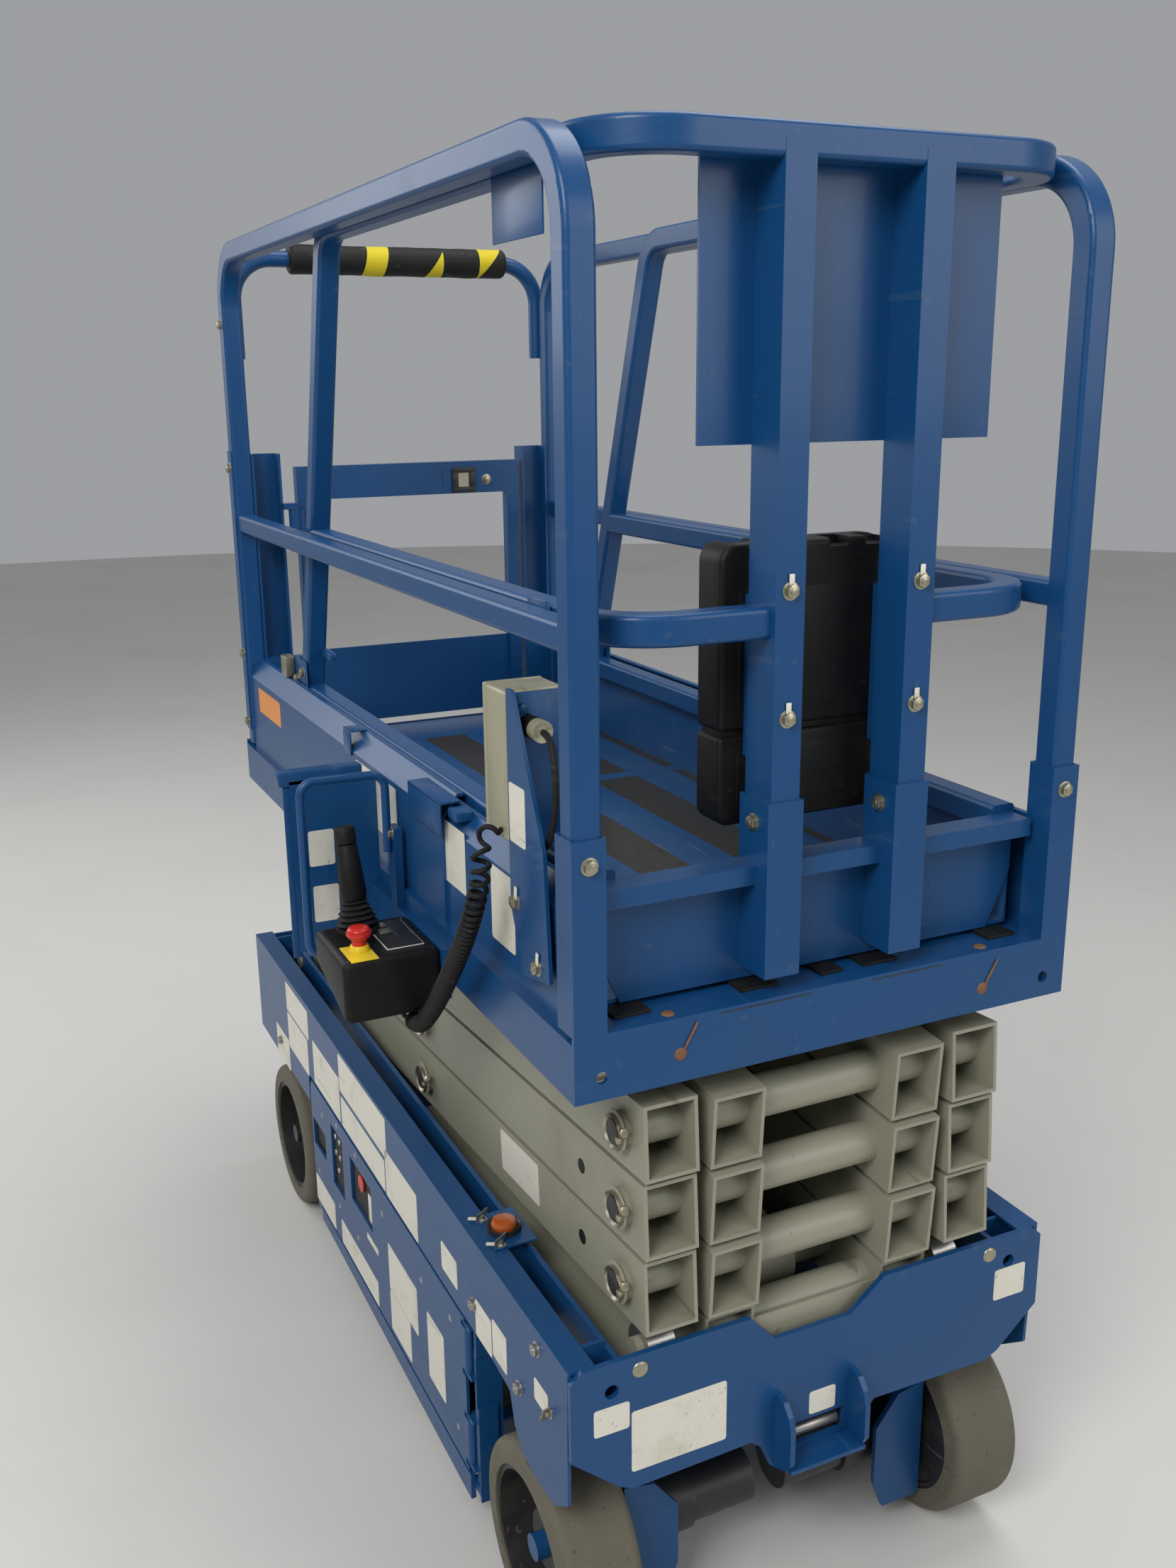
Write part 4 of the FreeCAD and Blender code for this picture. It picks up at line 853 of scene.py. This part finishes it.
# %% Document box
def soft_slab(box, wide, fine):
    """A block whose outer corners, seen from the front, are widely rounded, and the rest finely."""
    piece = applied(slab(*box))

    def outer(edge):
        a, b = (piece.data.vertices[i].co for i in edge.vertices)
        return abs(a.x - b.x) > 0.01 and not 1.25 < a.z < 1.5

    picked(piece, outer, "EDGE")
    bpy.ops.mesh.bevel(offset=wide, segments=6)
    leave_edit()
    return shape(piece, "BEVEL", width=fine, segments=3, limit_method="ANGLE",
                 angle_limit=math.radians(50))


lid = soft_slab((0.772, 0.8295, -0.132, 0.121, 1.331, 1.560), 0.024, 0.007)
foot = soft_slab((0.772, 0.8295, -0.132, 0.121, 1.210, 1.3245), 0.016, 0.006)
NOTCHES = [(0.796, 0.835, 0.022, 0.050), (0.796, 0.835, 0.074, 0.108), (0.765, 0.812, -0.112, -0.070)]
for notch in NOTCHES:
    knife = slab(*notch, 1.549, 1.570, 0.003)
    shape(lid, "BOOLEAN", operation="DIFFERENCE", object=knife)
    bpy.data.objects.remove(knife)
inside = slab(0.777, 0.8245, -0.127, 0.116, 1.26, 1.40, 0.003)
PANELS = [slab(0.8225, 0.8300, -0.108, 0.097, z0, z1, 0.0035, 3)
          for z0, z1 in ((1.350, 1.505), (1.232, 1.306))]
case = smooth(join([lid, foot, inside, *PANELS]), 30)
settle(case, "document_case", "slide_deck", plastic)
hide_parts("document_box")
CASE_BOLTS = [((0.8300, y, 1.222), FRONT) for y in (-0.02, 0.10)]
spread(bolt, "document_bolts", "slide_deck", zinc, CASE_BOLTS)

# %% [markdown]
# The warning beacon is a domed amber lens in a black ring on a small plate. Two wing screws with
# white tabs hold the plate, and one more holds the side panel. The lens is a drum whose top edge
# takes so wide a bevel that it reads as a dome.

# %% Beacon and wing screws
LENS = (0.568, -0.330)
socket = ring((*LENS, 0.5525), UP, 0.0255, 0.0198, 0.0100, 0.004, 48)
settle(socket, "beacon_ring", "chassis", black)
lens = drum((*LENS, 0.5535), UP, 0.0194, 0.0175, 48, 0.0062, 0.0186)
settle(lens, "beacon_lens", "chassis", amber)
wing = join([drum(ORIGIN, UP, 0.0085, 0.002, 24, 0.0004),
             drum((0, -LINE, 0.002), UP, 0.0048, 0.006, 20, 0.0008, 0.004),
             slab(-0.015, 0, -0.001 - LINE, 0.001 - LINE, 0.004, 0.014, 0.0009),
             slab(0, 0.015, -0.001 - LINE, 0.001 - LINE, 0.004, 0.014, 0.0009)])
WING_X = (0.530, 0.603)
spread(wing, "beacon_wings", "chassis", steel, [((x, -0.350, 0.553), spin(125)) for x in WING_X])
spread(tab, "beacon_tabs", "chassis", white,
       [((x - 0.003, -0.358, 0.5545), spin(-30) @ spin(90, "X")) for x in WING_X])
spread(wing, "panel_wings", "chassis", zinc,
       [((0.842, -SKIN - 0.0005, 0.452), turned(RIGHT) @ spin(63.02536))])

# %% [markdown]
# Behind the three windows of the right tray sit the ground controls: a black panel with small
# keys, and one with a red stop button. The screws on the skin are low domes, and two larger
# plugs close the holes in the front plate.

# %% Ground controls, skin screws and plugs
GROUND_STOP = (-0.027, -0.3745, 0.322)
settle(ring(GROUND_STOP, RIGHT, 0.0085, 0.006, 0.0002, 0.0, 24), "ground_stop_collar", "tray_right", yellow)
BUTTON = [drum(GROUND_STOP, RIGHT, 0.0085, 0.0015, 32),
          drum((-0.027, -0.3755, 0.322), RIGHT, 0.016, 0.0036, 40, 0.0012)]
settle(join(BUTTON), "ground_stop", "tray_right", red)
KEYS = [((x, -0.375, z), RIGHT) for x, z in
        ((-0.205, 0.330), (-0.178, 0.330), (-0.205, 0.296), (-0.178, 0.296), (-0.192, 0.262))]
spread(drum(ORIGIN, UP, 0.0065, 0.004, 20, 0.001, 0.005), "ground_keys", "tray_right", steel, KEYS)
settle(slab(0.010, 0.036, -0.3765, -0.375, 0.266, 0.322, 0.0006), "ground_strip", "tray_right", white)
dome = drum(ORIGIN, UP, 0.0062, 0.0026, 20, 0.0012, 0.0045)
DOMES = [(-0.281, 0.340), (-0.173, 0.369), (-0.049, 0.369), (-0.183, 0.190), (0.109, 0.335),
         (0.317, 0.328), (-0.060, 0.190), (0.474, 0.160), (0.455, 0.345), (-0.330, 0.190)]
spread(dome, "tray_screws", "tray_right", steel, [((x, -SKIN, z), RIGHT) for x, z in DOMES])
spread(dome, "tray_screws_left", "tray_left", steel, [((x, SKIN, z), LEFT) for x, z in DOMES])
spread(drum(ORIGIN, UP, 0.0128, 0.0048, 32, 0.0022, 0.0105), "front_plugs", "chassis", zinc,
       [((NOSE, y, 0.528), FRONT) for y in (-0.281, 0.286)])

# %% [markdown]
# The gate has a slide latch: a black frame round a bright zinc plate, and a bolt beside it. The
# plate's brightness is painted light, for the light that shows through the latch's opening. The
# feet of the slanted posts sit on plates on the deck's side rails, and a clip holds each toe
# board's lip down beside them.

# %% Gate latch, post feet and lip clips
LATCH = [slab(-0.7222, -0.7165, y0, y1, z0, z1, 0.0012) for y0, y1, z0, z1 in
         ((0.105, 0.159, 1.560, 1.571), (0.105, 0.159, 1.519, 1.530), (0.105, 0.119, 1.528, 1.562),
          (0.145, 0.159, 1.528, 1.562))]
settle(join(LATCH), "latch_frame", "entry_gate", black)
# A light zinc plate in the latch's opening: painted light for the light that shows through it.
settle(slab(-0.7214, -0.7202, 0.117, 0.147, 1.528, 1.562), "latch_painted_light", "entry_gate", zinc)
settle(slab(-0.7225, -0.7213, 0.084, 0.200, 1.5175, 1.5745), "latch_plate", "entry_gate", blue)
spread(bolt, "gate_bolts", "entry_gate", zinc, [((-0.7213, 0.185, 1.544), FRONT)])
FOOT = 0.3265  # y of the post feet's outer face
for s, side in SIDES:
    foot = slab(-0.485, -0.395, *sorted((s * 0.3235, s * FOOT)), 1.160, 1.235, 0.006)
    settle(foot, "post_foot_" + side, "slide_deck", blue)
    spread(bolt, "post_foot_bolts_" + side, "slide_deck", zinc,
           [((x, s * FOOT, z), (0, s, 0)) for x, z in ((-0.462, 1.192), (-0.415, 1.212))])
    clip = [slab(-0.012, 0.028, *sorted((s * 0.3642, s * 0.3672)), 1.150, 1.188, 0.0012),
            slab(-0.012, 0.028, *sorted((s * 0.336, s * 0.3672)), 1.1895, 1.1925, 0.0012)]
    settle(join(clip), "lip_clip_" + side, "platform", blue)

# %% [markdown]
# The foam on the entry hoop is one soft sleeve. A drum is remeshed evenly, so that a displace
# modifier with a cloud texture can make it slightly lumpy, as worn foam is.

# %% Foam sleeve
foam = drum((-0.768, -0.2155, 1.995), LEFT, 0.0292, 0.4705, 48, 0.006)
shape(foam, "REMESH", mode="VOXEL", voxel_size=0.003)
lumps = bpy.data.textures.new("lumps", "CLOUDS")
lumps.noise_scale = 0.07
shape(foam, "DISPLACE", texture=lumps, strength=0.004, mid_level=0.5)
smooth(foam, 60)
settle(foam, "foam_sleeve", "platform", foam_finish)
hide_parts("foam_wrap")

# %% [markdown]
# The blue bracket beside the junction box has a flange behind the gland, held by a bolt that was
# painted with it. Low wear pads lie on the front beam, where the deck slides over it. Fine seams
# and rusted screws with their lanyards show where the beam's cover is held.

# %% Flange, wear pads and beam screws
flange = slab(0.7352, 0.7382, -0.372, -0.297, 1.192, 1.388, 0.001)
settle(flange, "bracket_flange", "platform", blue)
nut = drum((0.7380, -0.354, 1.368), FRONT, 0.0068, 0.0050, 6, 0.0008)
settle(nut, "flange_bolt", "platform", blue)
PADS = [(-0.305, -0.255), (-0.128, -0.072), (-0.009, 0.025), (0.057, 0.111), (0.262, 0.308)]
pads = join([slab(0.8535, 0.886, y0, y1, 1.0098, 1.0142, 0.0008) for y0, y1 in PADS])
settle(pads, "wear_pads", "platform", rubber)
SEAMS = [slab(0.9148, 0.9154, y0, y1, 1.0036, 1.0052) for y0, y1 in ((-0.173, -0.044), (0.049, 0.161))]
settle(join(SEAMS), "beam_seams", "platform", black)
SCREWS = [(-0.230, 0.962), (0.231, 0.957)]  # y and z on the beam's face
screw = drum(ORIGIN, UP, 0.0095, 0.0040, 24, 0.0018, 0.0078)
spread(screw, "beam_screws", "platform", rust,
       [((BEAM, y, z), FRONT) for y, z in SCREWS] + [((0.898, y, 1.0099), UP) for y in (-0.239, 0.237)])
lanyard = slab(-0.0016, 0.0016, -0.0008 - LINE, 0.0008 - LINE, 0.004, 0.042, 0.0006)
spread(lanyard, "beam_lanyards", "platform", rust,
       [((BEAM + 0.0015, y + 0.013, z + 0.022), spin(-30, "X") @ spin(90)) for y, z in SCREWS])

# %% [markdown]
# Two pieces sit low at the front: a plate across the lowest inner arms, and the pin that a tow
# hook would catch, in the recess of the front plate.

# %% Axle guard and tow pin
guard = slab(0.879, 0.885, -0.200, 0.200, 0.466, 0.532, 0.0015)
settle(guard, "axle_guard", "arm_inner_1", grey)
settle(drum((0.893, -0.036, 0.338), LEFT, 0.0085, 0.071, 24, 0.001), "tow_pin", "chassis", steel)

# %% [markdown]
# Small bent plates of the platform are welded or clipped on after the frame is made. Each is a
# thin block with fine edges, or two that meet in a corner: the stop plate and the joint tab of
# the rail, the cover and end clip of the toe board's lip, and the hook that the controls hang by.

# %% Small blue plates
BENT_PLATES = [  # name, blocks with their bevels
    ("rail_stop_plate", [(0.626, 0.773, -0.3303, -0.3278, 1.903, 1.980, 0.001)]),
    ("rail_joint_tab", [(0.712, 0.768, -0.3324, -0.3265, 1.470, 1.500, 0.0015)]),
    ("lip_end_clip", [(0.494, 0.528, -0.3660, -0.340, 1.168, 1.182, 0.0015)]),
    ("lip_cover", [(0.348, 0.486, -0.3750, -0.343, 1.183, 1.187, 0.0012),
                   (0.348, 0.486, -0.3750, -0.3722, 1.138, 1.186, 0.0010)]),
    ("hanger_lip", [(0.156, 0.181, -0.5265, -0.393, 1.152, 1.175, 0.003),
                    (0.1735, 0.1760, -0.5195, -0.505, 0.870, 1.155, 0.0008)])]
for name, blocks in BENT_PLATES:
    settle(join([slab(*block) for block in blocks]), name, "platform", blue)

# %% [markdown]
# A black sheet inside the rear window of the right tray is painted shade, for the dark inside of
# the tray. On both side rails of the sliding deck, a zinc latch block and a blue lever hold the
# slanted post's foot.

# %% Painted shade in the rear window, post latches and levers
# A black sheet inside the rear window: painted shade for the dark inside of the tray.
shade_sheet = slab(-0.372, -0.250, -0.3735, -0.3715, 0.232, 0.318)
settle(shade_sheet, "window_painted_shade", "tray_right", plastic)
for s, side in SIDES:
    latch = slab(-0.512, -0.478, *sorted((s * FOOT, s * 0.3465)), 1.1925, 1.234, 0.003)
    settle(latch, "post_latch_" + side, "slide_deck", zinc)
    lever = slab(-0.420, -0.330, *sorted((s * 0.282, s * 0.296)), 1.244, 1.260, 0.004)
    settle(lever, "post_lever_" + side, "slide_deck", blue)

# %% [markdown]
# The masters have done their work and go.

# %% Remove the masters
for master in MASTERS:
    bpy.data.objects.remove(master)
